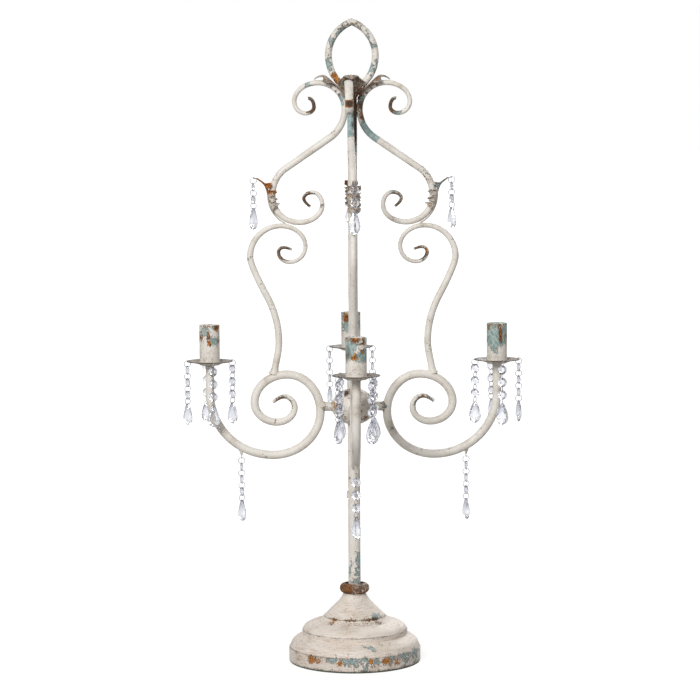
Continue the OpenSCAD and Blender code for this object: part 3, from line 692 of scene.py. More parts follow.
# Points every few millimetres along straight runs, so that the wear and painted shade have room
def dense(profile, gap=3):
    points = [profile[0]]
    for a, b in zip(profile[:-1], profile[1:]):
        count = max(1, int(np.hypot(b[0] - a[0], b[1] - a[1]) // gap))
        points += [[a[0] + (b[0] - a[0]) * k / count, a[1] + (b[1] - a[1]) * k / count]
                   for k in range(1, count + 1)]
    return points


def arcPoints(centre, radiusX, radiusY, start, end, count):
    return [[centre[0] + radiusX * math.cos(math.radians(a)), centre[1] + radiusY * math.sin(math.radians(a))]
            for a in np.linspace(start, end, count)]


foot = {
    "radius": 90, "footZ": 1.5, "sideTop": 20, "wall": 1.2, "neckHole": 4.85,
    "lowerLine": [[89, 20, 90], [86, 27, 115], [71.5, 37, 155]],
    "tierLine": [[71.3, 43.7, 110], [68.8, 48, 128], [59.8, 53, 161], [50, 56, 160], [44.2, 59.4, 128],
                 [42.5, 61.7, 108]],
    "coneLine": [[41.7, 62.5, 135], [20.5, 84, 125], [15.5, 93, 95]],
    "spots": [                                      # x, y, z, radius, teal, rust, grime
        [-60, -67, 15, 9, 0, 0.5, 0.1], [-51, -74, 14, 7, 0, 0.4, 0.1], [-21, -88, 13, 5, 0, 0.5, 0],
        [-30, -85, 17, 14, 0.16, 0.0, 0], [-8, -90, 16, 16, 0.2, 0.04, 0], [12, -89, 12, 15, 0.22, 0.1, 0],
        [30, -85, 13, 13, 0.2, 0.16, 0.05], [48, -76, 15, 13, 0.22, 0.2, 0.05], [40, -81, 14, 7, 0, 0.3, 0],
        [56, -70, 11, 6, 0, 0.3, 0.1], [20, -88, 16, 6, 0, 0.28, 0],
        [66, -61, 14, 16, 0.24, 0.16, 0.05], [80, -41, 14, 16, 0.24, 0.06, 0], [86, -27, 6, 12, 0.05, 0.1, 0.1],
        [14, -76, 33, 8, 0.22, 0, 0], [22, -77, 30, 7, 0.24, 0, 0], [34, -68, 34, 7, 0.2, 0, 0],
        [46, -60, 34, 6, 0.22, 0.02, 0.1], [26, -80, 26, 7, 0.22, 0, 0],
        [-28, -31, 61, 6, 0.05, 0.4, 0.1], [-14, -44, 58, 4, 0.3, 0, 0], [-4, -42, 62, 14, 0, 0.16, 0.1],
        [18, -38, 62, 12, 0, 0.2, 0.2], [28, -31, 62.5, 7, 0.1, 0.26, 0.4],
        [26, -28, 66, 8, 0.34, 0.0, 0.1], [31, -22, 66, 7, 0.36, 0.04, 0.1],
        [-13, -27, 74, 3, 0.05, 0.1, 0.5], [8, -20, 80, 2.5, 0.4, 0.1, 0.3], [-30, -22, 70, 3, 0, 0.2, 0.5],
        [33, -40, 58, 3, 0, 0.1, 0.5], [28, -44, 57, 3, 0.2, 0, 0.3],
        [60, 66, 12, 22, 0.24, 0.16, 0], [-70, 58, 14, 22, 0.22, 0.1, 0], [-10, 89, 9, 18, 0.2, 0.26, 0],
        [-40, 62, 30, 12, 0.24, 0.05, 0], [70, -5, 33, 8, 0.24, 0, 0.1], [30, 30, 62, 9, 0.2, 0.26, 0.1],
        [-89, 5, 12, 16, 0.2, 0.2, 0], [-66, 30, 33, 9, 0.2, 0, 0.2], [-20, 40, 60, 8, 0.1, 0.3, 0.2],
    ],
}


# Writes the "brush" attribute of a turned piece: the paint was brushed round it, so the pattern runs long
# round the axis and short up the slope
def brushRound(mesh):
    points = np.empty(len(mesh.vertices) * 3)
    mesh.vertices.foreach_get("co", points)
    x, y, z = points.reshape(-1, 3).T
    slope = z * 1.4 - np.hypot(x, y)
    brush = mesh.attributes.new("brush", "FLOAT_VECTOR", "POINT")
    brush.data.foreach_set("vector", np.stack([x * 0.16, y * 0.16, slope * 0.75], 1).ravel())


def makeFoot(v):
    r = v["radius"]
    outer = [[r - 0.5, v["footZ"]], [r, v["footZ"] + 0.6], [r, v["sideTop"] - 1.6], [r - 0.25, v["sideTop"] - 0.6],
             [r - 0.7, v["sideTop"] - 0.3]]
    outer += [list(p[:2]) for p in curve(v["lowerLine"], 10)]
    outer += [[71.6, 38.2], [71.9, 39.6], [72.0, 42.6], [71.8, 43.2]]
    outer += [list(p[:2]) for p in curve(v["tierLine"], 10)]
    outer += [[42.2, 62.0], [41.8, 62.2]]
    outer += [list(p[:2]) for p in curve(v["coneLine"], 10)]
    outer = dense(outer, 2.5)
    inner = [[v["neckHole"], 93], [v["neckHole"], 90.6], [14, 90.2], [18.6, 83], [40.4, 61], [63.6, 49.3],
             [70.6, 41.4], [70, 36.2], [84.4, 26], [87.8, 19.3], [r - v["wall"], 18.5], [r - v["wall"], v["footZ"]]]
    mesh = turnProfile(outer + inner, 160)

    def wornEdges(points):
        radius, z = np.hypot(points[:, 0], points[:, 1]), points[:, 2]
        rim = np.exp(-((z - 20) / 1.1) ** 2) + np.exp(-((z - 43.4) / 1.0) ** 2) + np.exp(-((z - 62.0) / 1.0) ** 2)
        low = np.exp(-((z - 2) / 2.2) ** 2)
        side = (z < 19.6) * (radius > 80)
        teal = 0.1 * np.exp(-((z - 18) / 2) ** 2) + 0.05 * side
        rust = 0.16 * np.exp(-((z - 61.9) / 1.3) ** 2) + 0.12 * low + 0.03 * side + 0.1 * np.exp(-((z - 43.4) / 1) ** 2)
        grimeAndShade = 0.5 * rim + 0.5 * low + 0.25 * np.exp(-((z - 92) / 2) ** 2) + 0.05 * side
        grimeAndShade = np.where(radius < v["neckHole"] + 1, 0.5, grimeAndShade)
        return np.stack([teal, rust, grimeAndShade], 1)
    paintWearAndShade(mesh, wornEdges, v["spots"])
    brushRound(mesh)
    makePiece("steppedFoot", sharpen(mesh), rootBody, footPaint, ["base_shell"])


makeFoot(foot)

collar = {"radius": 20.3, "low": 93, "height": 13.5, "hole": 8.45, "recess": 4, "depth": 2}


def makeCollar(v):
    half = v["height"] / 2
    middle = v["low"] + half
    outside = arcPoints((v["radius"] - half, middle), half, half, -75, 90, 22)
    top = v["low"] + v["height"]
    profile = [[v["hole"], v["low"]]] + outside + [[v["hole"] + v["recess"], top],
                                                   [v["hole"] + v["recess"] - 0.4, top - v["depth"]],
                                                   [v["hole"], top - v["depth"]]]
    mesh = turnProfile(dense(profile, 2), 80)
    low = v["low"]
    paintWearAndShade(mesh, lambda p: np.stack([
        0.06 + 0.08 * (p[:, 0] > 2), 0.14 + 0.12 * (p[:, 0] < -4), 0.42 + 0.4 * np.exp(-((p[:, 2] - low) / 1.8) ** 2)
        + 0.3 * (np.hypot(p[:, 0], p[:, 1]) < 13)], 1))
    makePiece("stemCollar", sharpen(mesh), rootBody, leafPaint, ["base_collar"])


makeCollar(collar)

stem = {
    "lowRadius": 8.35, "highRadius": 6.4, "rodRadius": 4.75, "rodFoot": 2, "seat": 93, "lowTop": 333,
    "highFoot": 367, "top": 771.98, "hubRadius": 30, "hubHalf": 25, "hubZ": 350,
}


def makeStem(v):
    low = turnProfile(dense([[0, v["rodFoot"]], [v["rodRadius"], v["rodFoot"]], [v["rodRadius"], v["seat"]],
                             [v["lowRadius"], v["seat"]], [v["lowRadius"], v["lowTop"]], [0, v["lowTop"]]], 4), 40)
    paintWearAndShade(low, lambda p: np.stack([
        (0.36 * np.exp(-((p[:, 2] - 116) / 17) ** 2) + 0.3 * np.exp(-((p[:, 2] - 143) / 12) ** 2)
         + 0.18 * np.exp(-((p[:, 2] - 170) / 14) ** 2)) * (0.72 + 0.28 * np.clip(p[:, 0] / 4, -1, 1)),
        0.16 * np.exp(-((p[:, 2] - 116) / 10) ** 2), 0.4 * np.exp(-((p[:, 2] - 106.5) / 3) ** 2)], 1))
    makePiece("lowerStem", sharpen(low), rootBody, creamPaint, ["lower_post"])
    high = turnProfile(dense([[0, v["highFoot"]], [v["highRadius"], v["highFoot"]], [v["highRadius"], v["top"]],
                              [0, v["top"]]], 4), 40)
    def wornTopShadedSide(p):
        up = np.clip((p[:, 2] - 668) / 26, 0, 1)
        # Painted shade: above z 700 the stem's right side (x over 0.8) loses its teal and takes rust and heavy grime,
        # darkened as the side the light doesn't reach
        dark = np.clip((p[:, 0] - 0.8) / 3, 0, 1) * np.clip((p[:, 2] - 700) / 14, 0, 1)
        streak = np.exp(-((p[:, 0] - 4) / 1.6) ** 2) * (p[:, 2] < 560) * (p[:, 2] > 430)
        return np.stack([0.02 + 0.4 * up * (1 - dark), 0.5 * dark + 0.06 * up, 0.9 * dark + 0.3 * streak], 1)
    paintWearAndShade(high, wornTopShadedSide)
    makePiece("upperStem", sharpen(high), rootBody, creamPaint, ["upper_post"])
    a, b, z = v["hubRadius"], v["hubHalf"], v["hubZ"]

    def atRadius(r):
        return math.degrees(math.acos(r / a))
    inLow, inHigh = v["lowRadius"] + 0.1, v["highRadius"] + 0.1
    ball = turnProfile([[0, v["lowTop"] + 0.05], [inLow, v["lowTop"] + 0.05]]
                       + arcPoints((0, z), a, b, -atRadius(inLow), atRadius(inHigh), 48)
                       + [[inHigh, v["highFoot"] - 0.05], [0, v["highFoot"] - 0.05]], 96)
    paintWearAndShade(ball, (0.05, 0.1, 0.12), [
        [0, -12, 372, 16, 0.1, 0.2, 0.5], [18, -14, 368, 9, 0.16, 0.1, 0.3], [-22, -18, 352, 11, 0, 0.3, 0.25],
        [-18, -20, 338, 10, 0, 0.2, 0.3], [14, -20, 334, 9, 0.1, 0.2, 0.3], [24, -10, 355, 9, 0.3, 0.1, 0.3],
        [-14, -16, 370, 9, 0, 0.3, 0.5], [0, 26, 362, 14, 0.3, 0.2, 0.1],
    ])
    makePiece("stemBall", sharpen(ball), rootBody, creamPaint, ["hub"])


makeStem(stem)

dish = {
    "reach": 195, "low": 410, "turns": [10, 0, 10, -50], "flat": 14.25, "shoulder": 25.45, "rim": 31.25,
    "rise": 2.4, "sag": 1.7, "thick": 1.0, "socketLow": 4.2, "holeCircle": 28.05, "holeRadius": 2.0, "socketRadius": 6.5, "socketHole": 5.5,
    "cupTeal": [0.2, 0.1, 0.0, 0.1],          # how much teal shows: right, back, left, front
    "cupSpots": {                             # across and up on the side that faces the front, radius, teal, rust, grime
        "right": [[3.5, 47, 5, 0, 0.48, 0], [4, 40, 4.5, 0, 0.64, 0], [4, 33, 4.5, 0, 0.7, 0], [4.5, 27, 4, 0, 0.5, 0],
                  [-9, 40, 12, 0.2, -0.1, 0], [-4, 22, 14, 0.34, -0.1, 0], [-3, 11, 11, 0.34, 0, 0],
                  [9, 14, 8, -0.1, 0, 0], [12.8, 38, 10, 0.1, 0.17, 0.59], [-12.8, 30, 8, 0, 0.14, 0.52],
                  [-12, 47, 5, 0, 0.42, 0.26]],
        "back": [[-8, 44, 7, 0, 0.56, 0], [-4, 46, 5, 0, 0.5, 0], [-6, 30, 10, 0.28, -0.1, 0], [-8, 22, 6, -0.3, 0, 0],
                 [-12.8, 30, 12, 0, 0.14, 0.65], [-4, 14, 4, 0, 0.42, 0]],
        "left": [[-6, 44, 8, 0.26, -0.1, 0], [8, 31, 8, 0.3, -0.1, 0], [-1, 37, 8, 0.12, 0, 0],
                 [-1.5, 42, 3.5, 0, 0.59, 0], [-1, 36, 3.5, 0, 0.64, 0], [0, 29, 4, 0, 0.7, 0], [2, 25, 3, 0, 0.42, 0],
                 [6, 42, 8, -0.2, 0, 0], [-8, 33, 7, -0.2, 0, 0], [10, 49.5, 6, 0, 0.64, 0.72],
                 [12.6, 32, 5, 0, 0.48, 0.26], [-13.2, 38, 11, 0, 0.48, 0.65]],
        "front": [[-8, 40, 13, 0.2, -0.05, 0.33], [9, 27, 12, 0.36, -0.1, 0], [-1, 37, 6, -0.1, -0.1, 0],
                  [-1, 31, 4, 0, 0.42, 0], [-4, 27, 4, 0, 0.7, 0.2], [1, 27, 4, 0, 0.5, 0],
                  [8.5, 46, 5, 0, 0.56, 0.45], [8, 36, 4.5, 0, 0.64, 0.45], [8, 41, 3.5, -0.3, -0.3, 0],
                  [-12.8, 28, 12, 0.1, 0.14, 0.72], [12.8, 30, 12, 0.2, 0, 0.39], [-2, 49.5, 7, 0, 0.42, 0]],
    },
    "cupOuter": 13.8, "cupInner": 11.75, "cupLift": -0.6, "cupHeight": 53, "cupFloor": 3.1,
}


def cutRound(mesh, places, radius, low, high):
    cutter = bpy.data.meshes.new("cutter")
    verts, faces = [], []
    for x, y in places:
        start = len(verts)
        for z in (low, high):
            verts += [((x + radius * math.cos(k * math.pi / 12)) * mm, (y + radius * math.sin(k * math.pi / 12)) * mm,
                       z * mm) for k in range(24)]
        faces += [[start + k, start + (k + 1) % 24, start + 24 + (k + 1) % 24, start + 24 + k] for k in range(24)]
        faces += [list(range(start + 23, start - 1, -1)), list(range(start + 24, start + 48))]
    cutter.from_pydata(verts, [], faces)
    holder = bpy.data.objects.new("holder", mesh)
    tool = bpy.data.objects.new("tool", cutter)
    for thing in (holder, tool):
        bpy.context.scene.collection.objects.link(thing)
    modifier = holder.modifiers.new("holes", "BOOLEAN")
    modifier.operation = "DIFFERENCE"
    modifier.solver = "EXACT"
    modifier.object = tool
    depsgraph = bpy.context.evaluated_depsgraph_get()
    cut = bpy.data.meshes.new_from_object(holder.evaluated_get(depsgraph), depsgraph=depsgraph)
    bpy.data.objects.remove(holder)
    bpy.data.objects.remove(tool)
    return cut


def makeDish(v, i, side):
    x, y, _ = np.array(onSide(i, v["reach"], 0, 0)) / mm
    z, t = v["low"], v["thick"]
    sag = v["sag"]
    under = [[v["flat"] - 1, -sag], [v["flat"] + 4.5, 0.2], [v["shoulder"] - 1, v["rise"] - 0.3],
             [v["shoulder"] + 1, v["rise"]], [v["rim"] - 0.3, v["rise"]]]
    top = [[v["rim"], v["rise"] + 0.4], [v["rim"], v["rise"] + 0.8], [v["rim"] - 0.3, v["rise"] + t],
           [v["shoulder"] + 1, v["rise"] + t], [v["shoulder"] - 1, v["rise"] + t - 0.3], [v["flat"] + 4.5, t + 0.2],
           [v["flat"] - 1, t - sag], [0, t - sag]]
    profile = [[0, -sag], [v["socketHole"], -sag], [v["socketHole"], -v["socketLow"]], [v["socketRadius"], -v["socketLow"]],
               [v["socketRadius"], -sag]]
    mesh = turnProfile([[p[0], p[1] + z] for p in dense(profile + under + top, 3)], 96, (x, y))
    holes = []
    for k in range(4):
        a = math.radians(90 * i + v["turns"][i] + 90 * k)
        holes.append((x + v["holeCircle"] * math.cos(a), y + v["holeCircle"] * math.sin(a)))
    mesh = cutRound(mesh, holes, v["holeRadius"], z - 2, z + 8)

    def wornRimShadedTop(points):
        r = np.hypot(points[:, 0] - x, points[:, 1] - y)
        rim = np.exp(-((r - v["rim"]) / 1.2) ** 2)
        # Painted shade: grime and a little rust darken the dish's upper face, standing for the cup's shadow and the
        # grazing light
        top = (points[:, 2] > z + v["thick"] - v["sag"] - 0.1) * (r > 12) * (r < v["rim"] - 0.2)
        top = top * (points[:, 2] > z + (r > v["flat"] + 2) * (r - v["flat"]) * 0.18)
        return np.stack([0.06 + 0.04 * rim, 0.08 + 0.14 * rim + 0.06 * top, 0.12 + 0.6 * rim + 0.4 * top], 1)
    paintWearAndShade(mesh, wornRimShadedTop)
    makePiece(side + "DripDish", sharpen(mesh), rootBody, dishPaint, [side + "_drip_plate"])

    z += v["cupLift"]
    outer, inner, high = v["cupOuter"], v["cupInner"], v["cupHeight"]
    cup = turnProfile([[p[0], p[1] + z] for p in dense([
        [0, -sag], [outer - 0.4, -sag], [outer, 0.4 - sag], [outer, high - 0.5], [outer - 0.4, high], [inner + 0.4, high],
        [inner, high - 0.5], [inner, v["cupFloor"]], [0, v["cupFloor"]]], 3)], 72, (x, y))

    # The upper two thirds are rubbed through; the lip and the foot are dirty
    def wornCup(points):
        h = (points[:, 2] - z) / high
        away = np.hypot(points[:, 0] - x, points[:, 1] - y)
        inside = (away < inner + 0.2) * (h < 0.97)
        upper = np.clip((h - 0.24) / 0.3, 0, 1) * (1 - inside)
        lip = np.exp(-((h - 0.975) / 0.03) ** 2) * (away > (inner + outer) / 2)
        foot = np.clip(1 - h / 0.05, 0, 1) * (1 - inside)
        return np.stack([-0.5 + (0.5 + v["cupTeal"][i]) * upper, -0.36 + 0.26 * upper + 0.36 * lip,
                         0.3 * lip + 0.05 * inside + 0.3 * foot], 1)
    spots = [[x + a, y - math.sqrt(max(outer ** 2 - a ** 2, 0)), z + up, *rest] for a, up, *rest in v["cupSpots"][side]]
    paintWearAndShade(cup, wornCup, spots)
    makePiece(side + "CandleCup", sharpen(cup), rootBody, cupPaint, [side + "_candle_cup"])


for i, side in enumerate(sides):
    makeDish(dish, i, side)

# Spacer bars between the ball and the arms, with a lumpy weld at both ends

spacer = {"radius": 6.2, "inner": 24.0, "outer": 45.3, "z": 350, "bead": 1.1}


def makeSpacers(v):
    profile = [[0, v["inner"]]]
    for along in np.linspace(v["inner"], v["outer"], 24):
        ends = math.exp(-((along - 29.2) / 1.1) ** 2) + math.exp(-((along - 40.6) / 1.2) ** 2)
        profile.append([v["radius"] + v["bead"] * ends, along])
    profile.append([0, v["outer"]])
    built = []
    for i in range(4):
        mesh = turnProfile(profile, 32)
        mesh.transform(sideTurn[i] @ Matrix.Translation((0, 0, v["z"] * mm)) @ Matrix.Rotation(math.pi / 2, 4, "Y"))
        built.append(mesh)
    mesh = joined(built, "spacers")
    paintWearAndShade(mesh, lambda p: np.stack([
        0.1 * np.ones(len(p)), 0.24 * np.exp(-((np.hypot(p[:, 0], p[:, 1]) - 40) / 2) ** 2),
        0.3 + 0.3 * np.exp(-((np.hypot(p[:, 0], p[:, 1]) - 29) / 2) ** 2)], 1))
    makePiece("weldedSpacers", sharpen(mesh), rootBody, creamPaint, ["spacer_bars"])


def joined(meshes, name):
    build = bmesh.new()
    for mesh in meshes:
        build.from_mesh(mesh)
    whole = bpy.data.meshes.new(name)
    build.to_mesh(whole)
    build.free()
    whole.shade_smooth()
    return whole


makeSpacers(spacer)

# Little cast hooks under the arms, each with a pierced eye for the first ring

hook = {"reach": 153, "tipZ": 283.3, "rootZ": 290.3, "tipRadius": 1.3, "rootRadius": 3.6, "eyeRadius": 2.6,
        "eyeHole": 1.3, "eyeThick": 1.0, "eyeZ": 281.267}


def makeHooks(v):
    built = []
    x, _, _ = np.array(onSide(0, v["reach"], 0, 0)) / mm
    for i in range(4):
        stem = turnProfile([[0, v["tipZ"] - 0.3], [v["tipRadius"], v["tipZ"]], [1.5, v["tipZ"] + 2],
                            [2.2, v["tipZ"] + 4], [v["rootRadius"], v["rootZ"]], [0, v["rootZ"] + 0.4]], 20, (x, 0))
        half = v["eyeThick"] / 2
        eye = turnProfile([[v["eyeHole"], -half], [v["eyeRadius"] - 0.2, -half], [v["eyeRadius"], -half + 0.2],
                           [v["eyeRadius"], half - 0.2], [v["eyeRadius"] - 0.2, half], [v["eyeHole"], half]], 24)
        eye.transform(Matrix.Translation((x * mm, 0, v["eyeZ"] * mm)) @ Matrix.Rotation(math.pi / 2, 4, "Y"))
        for mesh in (stem, eye):
            mesh.transform(sideTurn[i])
            built.append(mesh)
    mesh = joined(built, "hooks")
    paintWearAndShade(mesh, (0.08, 0.06, 0.2))
    makePiece("armHooks", sharpen(mesh), rootBody, creamPaint, ["arm_hooks"])


makeHooks(hook)
print("turned pieces made")

# Pressed sheet leaves: a closed sheet along a line, its cross sections given by a shape function


# rows[i][j] is a point (radial, sideways, up) in millimetres, and normals[i][j] points to the sheet's upper face
def sheetMesh(rows, thickness, i):
    rows = np.array(rows, float)
    alongLine = np.gradient(rows, axis=0)
    acrossLine = np.gradient(rows, axis=1)
    normals = np.cross(alongLine, acrossLine)
    normals /= np.linalg.norm(normals, axis=2)[:, :, None]
    count, width = rows.shape[:2]
    top, low = rows + normals * thickness / 2, rows - normals * thickness / 2
    a = math.radians(90 * i)
    turn = np.array([[math.cos(a), math.sin(a), 0], [-math.sin(a), math.cos(a), 0], [0, 0, 1]])
    verts = np.concatenate([top.reshape(-1, 3), low.reshape(-1, 3)]) @ turn * mm
    half = count * width
    faces = []
    for m in range(count - 1):
        for n in range(width - 1):
            k = m * width + n
            faces.append((k, k + width, k + width + 1, k + 1))
            faces.append((half + k, half + k + 1, half + k + width + 1, half + k + width))
    border = ([n for n in range(width)] + [m * width + width - 1 for m in range(1, count)]
              + [(count - 1) * width + n for n in range(width - 2, -1, -1)] + [m * width for m in range(count - 2, 0, -1)])
    for a, b in zip(border, border[1:] + border[:1]):
        faces.append((a, b, half + b, half + a))
    mesh = bpy.data.meshes.new("leafSheet")
    mesh.from_pydata(verts.tolist(), [], faces)
    build = bmesh.new()
    build.from_mesh(mesh)
    bmesh.ops.recalc_face_normals(build, faces=build.faces)
    build.to_mesh(mesh)
    build.free()
    mesh.shade_smooth()
    return mesh


# Points, headings and the share of the way along a line of knots [radial, up, heading]
def leafLine(knots, steps):
    points = curve([[*k, 1] for k in knots], steps)[:, :2]
    way = np.concatenate([[0], np.cumsum(np.linalg.norm(np.diff(points, axis=0), axis=1))])
    heading = np.gradient(points, axis=0)
    heading /= np.linalg.norm(heading, axis=1)[:, None]
    return points, heading, way


crown = {
    "line": [[7.5, 764.98, 70], [18, 779.98, 48], [37.87, 797.48, 5], [50.87, 792.28, 310]],
    "halfWidths": [3.2, 5.6, 8.2, 10.6, 12.8, 14.8, 16.2, 15.4, 9.5, 8.5, 6.5, 4, 1.2],
    "bow": [0.12, 0.12, -0.02, -0.5, -0.6, -0.15, -0.1], "bowAt": [0, 0.3, 0.42, 0.52, 0.6, 0.7, 1],
    "steps": 18, "across": 37, "thickness": 0.8,
    "ribs": 5.5, "ribDepth": 0.55, "teeth": 11, "toothDepth": 0.13,
    "frontWider": 1.22, "frontShift": -2.0,
}


def makeCrown(v):
    points, heading, way = leafLine(v["line"], v["steps"])
    share = np.linspace(0, 1, len(points))
    width = np.interp(share, np.linspace(0, 1, len(v["halfWidths"])), v["halfWidths"])
    saw = (share * v["teeth"]) % 1
    width = width * (1 - v["toothDepth"] * saw * np.clip(share * 4, 0, 1))
    bow = np.interp(share, v["bowAt"], v["bow"])
    ribbed = v["ribDepth"] * np.interp(share, [0, 0.1, 0.8, 1], [0.2, 1, 1, 0.2])
    built = []
    for i in range(4):
        rows = []
        for k, (r, z) in enumerate(points):
            row = []
            for across in np.linspace(-1, 1, v["across"]):
                lift = bow[k] * width[k] * across ** 2 + ribbed[k] * math.cos(across * math.pi * v["ribs"])
                sideways = width[k] * across
                if sides[i] == "front":
                    sideways = sideways * v["frontWider"] + v["frontShift"] * min(1, share[k] * 3)
                row.append([r - heading[k][1] * lift, sideways, z + heading[k][0] * lift])
            rows.append(row)
        built.append(sheetMesh(rows, v["thickness"], i))
    mesh = joined(built, "crown")

    # Painted shade: below z 790, and more on the right side, rust and grime rise and teal falls, darkening the leaves'
    # undersides and their side away from the light
    def dirtAndShade(p):
        low = np.clip((790 - p[:, 2]) / 20, 0, 1)
        right = np.clip(p[:, 0] / 6, -1, 1) * low
        return np.stack([0.04 - 0.02 * low, 0.04 + 0.1 * low + 0.08 * right, 0.05 + 0.2 * low + 0.2 * right], 1)
    paintWearAndShade(mesh, dirtAndShade)
    makePiece("crownLeaves", sharpen(mesh, 50), rootBody, crownPaint, ["crown_leaves"])


makeCrown(crown)

# Acanthus clasps wrapped round the outside of the upper scrolls and drawn out into a tongue with a pierced eye
clasp = {
    "line": [[90.6, 598.9, 24], [103.4, 608.4, 48], [114.3, 636.11, 90], [117.8, 649.6, 66], [121.8, 654.6, 42],
             [128.9, 660.0, 36]],
    "lobes": [[0.41, 16, 0.065], [0.54, 15, 0.06], [0.66, 14.5, 0.055], [0.78, 11.5, 0.055]],  # share, half width, reach
    "stem": [2.4, 3.2, 4.6, 5.4, 5.6, 5.4, 4.6, 3.2, 2.6, 2.2],
    "stemAt": [0, 0.25, 0.35, 0.45, 0.6, 0.7, 0.82, 0.88, 0.94, 1],
    "wrap": [5.6, 5.7, 5.9, 6.2, 5.0, 3.4, 2.6],     # radius it is bent to
    "wrapAt": [0, 0.58, 0.67, 0.74, 0.8, 0.88, 1],
    "looks": {"right": [0.2, 0.02, 0.05], "back": [0, 0.2, 0.2], "left": [-0.1, 0.36, -0.1], "front": [0.1, 0.08, 0]},
    "flare": 3.8, "steps": 20, "across": 27, "thickness": 0.8, "toothDepth": 0.16, "teeth": 34, "vein": 0.45,
    "eyeReach": 131.32, "eyeZ": 659.606, "eyeRadius": 3.2, "eyeHole": 2.0, "eyeThick": 1.0,
}


def makeClasp(v, i, side):
    points, heading, way = leafLine(v["line"], v["steps"])
    share = way / way[-1]
    stem = np.interp(share, v["stemAt"], v["stem"])
    lobe = np.zeros(len(share))
    for at, reach, spread in v["lobes"]:
        lobe = np.maximum(lobe, (reach - np.interp(at, v["stemAt"], v["stem"]))
                          * np.clip(1 - (abs(share - at) / spread) ** 2, 0, 1))
    bend = np.interp(share, v["wrapAt"], v["wrap"])
    width = (stem + lobe) * (1 - v["toothDepth"] * ((share * v["teeth"]) % 1) * (lobe > 1))
    rows = []
    for k, (r, z) in enumerate(points):
        row = []
        for across in np.linspace(-1, 1, v["across"]):
            angle = across * width[k] / bend[k]
            pucker = v["vein"] * math.cos(across * 9 + share[k] * 60) * min(1, lobe[k] / 2) * abs(across)
            pucker += 0.6 * math.exp(-(across * width[k] / 1.3) ** 2)
            pucker += v["flare"] * across ** 4 * min(1, lobe[k] / 4)
            sideways = (bend[k] + pucker) * math.sin(angle)
            inward = bend[k] - (bend[k] + pucker) * math.cos(angle)
            row.append([r - heading[k][1] * inward, sideways, z + heading[k][0] * inward])
        rows.append(row)
    leaf = sheetMesh(rows, v["thickness"], i)
    half = v["eyeThick"]
    x, y, _ = np.array(onSide(i, v["eyeReach"], 0, 0)) / mm
    z = v["eyeZ"]
    eye = turnProfile([[v["eyeHole"], z], [v["eyeRadius"] - 0.2, z], [v["eyeRadius"], z + 0.2],
                       [v["eyeRadius"], z + half - 0.2], [v["eyeRadius"] - 0.2, z + half], [v["eyeHole"], z + half]],
                      24, (x, y))
    mesh = joined([leaf, eye], "clasp")

    def dirtAndShade(p):
        upper = np.clip((p[:, 2] - 636) / 12, 0, 1)
        stem = np.clip((614 - p[:, 2]) / 6, 0, 1)
        teal, rust, grimeAndShade = v["looks"][side]
        return np.stack([0.05 + teal * upper - 0.3 * stem, 0.0 + rust * upper - 0.3 * stem,
                         0.1 + grimeAndShade * upper - 0.25 * stem], 1)
    paintWearAndShade(mesh, dirtAndShade)
    makePiece(side + "LeafClasp", sharpen(mesh, 50), rootBody, leafPaint, [side + "_leaf_clasp"])


for i, side in enumerate(sides):
    makeClasp(clasp, i, side)
print("leaves made")

# Crystal strands

link = {
    "ringRadius": 4.4, "wireRadius": 0.45, "step": 17.0, "holeSlip": 0.15,
    "octagon": 12.0, "octagonThick": 4.3, "holeGap": 8.5, "holeRadius": 0.9,
    "dropLong": 29.0, "dropWide": 16.7, "dropThick": 7.5, "dropTop": 1.7,
    "facetUp": 0.4, "facetHigh": 0.15,
    "hang": 3.05, "ringSlack": 0.4, "dropShare": 1.25,
}


# A faceted crystal between rings of corners: each ring is (x, share of the outline, corners shifted by half)
def facetedCrystal(outline, centre, rings, name):
    n = len(outline)
    between = [((outline[k][0] + outline[(k + 1) % n][0]) / 2, (outline[k][1] + outline[(k + 1) % n][1]) / 2)
               for k in range(n)]
    verts = []
    for x, share, shifted in rings:
        for y, z in (between if shifted else outline):
            verts.append((x * mm, (centre[0] + (y - centre[0]) * share) * mm,
                          (centre[1] + (z - centre[1]) * share) * mm))
    build = bmesh.new()
    for v in verts:
        build.verts.new(v)
    bmesh.ops.convex_hull(build, input=build.verts)
    loose = [v for v in build.verts if not v.link_faces]
    bmesh.ops.delete(build, geom=loose, context="VERTS")
    bmesh.ops.dissolve_limit(build, angle_limit=math.radians(1), verts=build.verts, edges=build.edges)
    bmesh.ops.recalc_face_normals(build, faces=build.faces)
    mesh = bpy.data.meshes.new(name)
    build.to_mesh(mesh)
    build.free()
    return mesh


def pierce(mesh, heights, radius, reach, name):
    verts, faces = [], []
    for z in heights:
        start = len(verts)
        for x in (-reach, reach):
            verts += [(x * mm, radius * math.cos(k * math.pi / 6) * mm, (z + radius * math.sin(k * math.pi / 6)) * mm)
                      for k in range(12)]
        faces += [[start + k, start + 12 + k, start + 12 + (k + 1) % 12, start + (k + 1) % 12] for k in range(12)]
        faces += [list(range(start, start + 12)), list(range(start + 23, start + 11, -1))]
    cutter = bpy.data.meshes.new("drill")
    cutter.from_pydata(verts, [], faces)
    build = bmesh.new()
    build.from_mesh(cutter)
    bmesh.ops.recalc_face_normals(build, faces=build.faces)
    build.to_mesh(cutter)
    build.free()
    holder = bpy.data.objects.new("blank", mesh)
    tool = bpy.data.objects.new("drill", cutter)
    for thing in (holder, tool):
        bpy.context.scene.collection.objects.link(thing)
    modifier = holder.modifiers.new("holes", "BOOLEAN")
    modifier.operation = "DIFFERENCE"
    modifier.solver = "EXACT"
    modifier.object = tool
    depsgraph = bpy.context.evaluated_depsgraph_get()
    cut = bpy.data.meshes.new_from_object(holder.evaluated_get(depsgraph), depsgraph=depsgraph)
    cut.name = name
    bpy.data.objects.remove(holder)
    bpy.data.objects.remove(tool)
    return cut


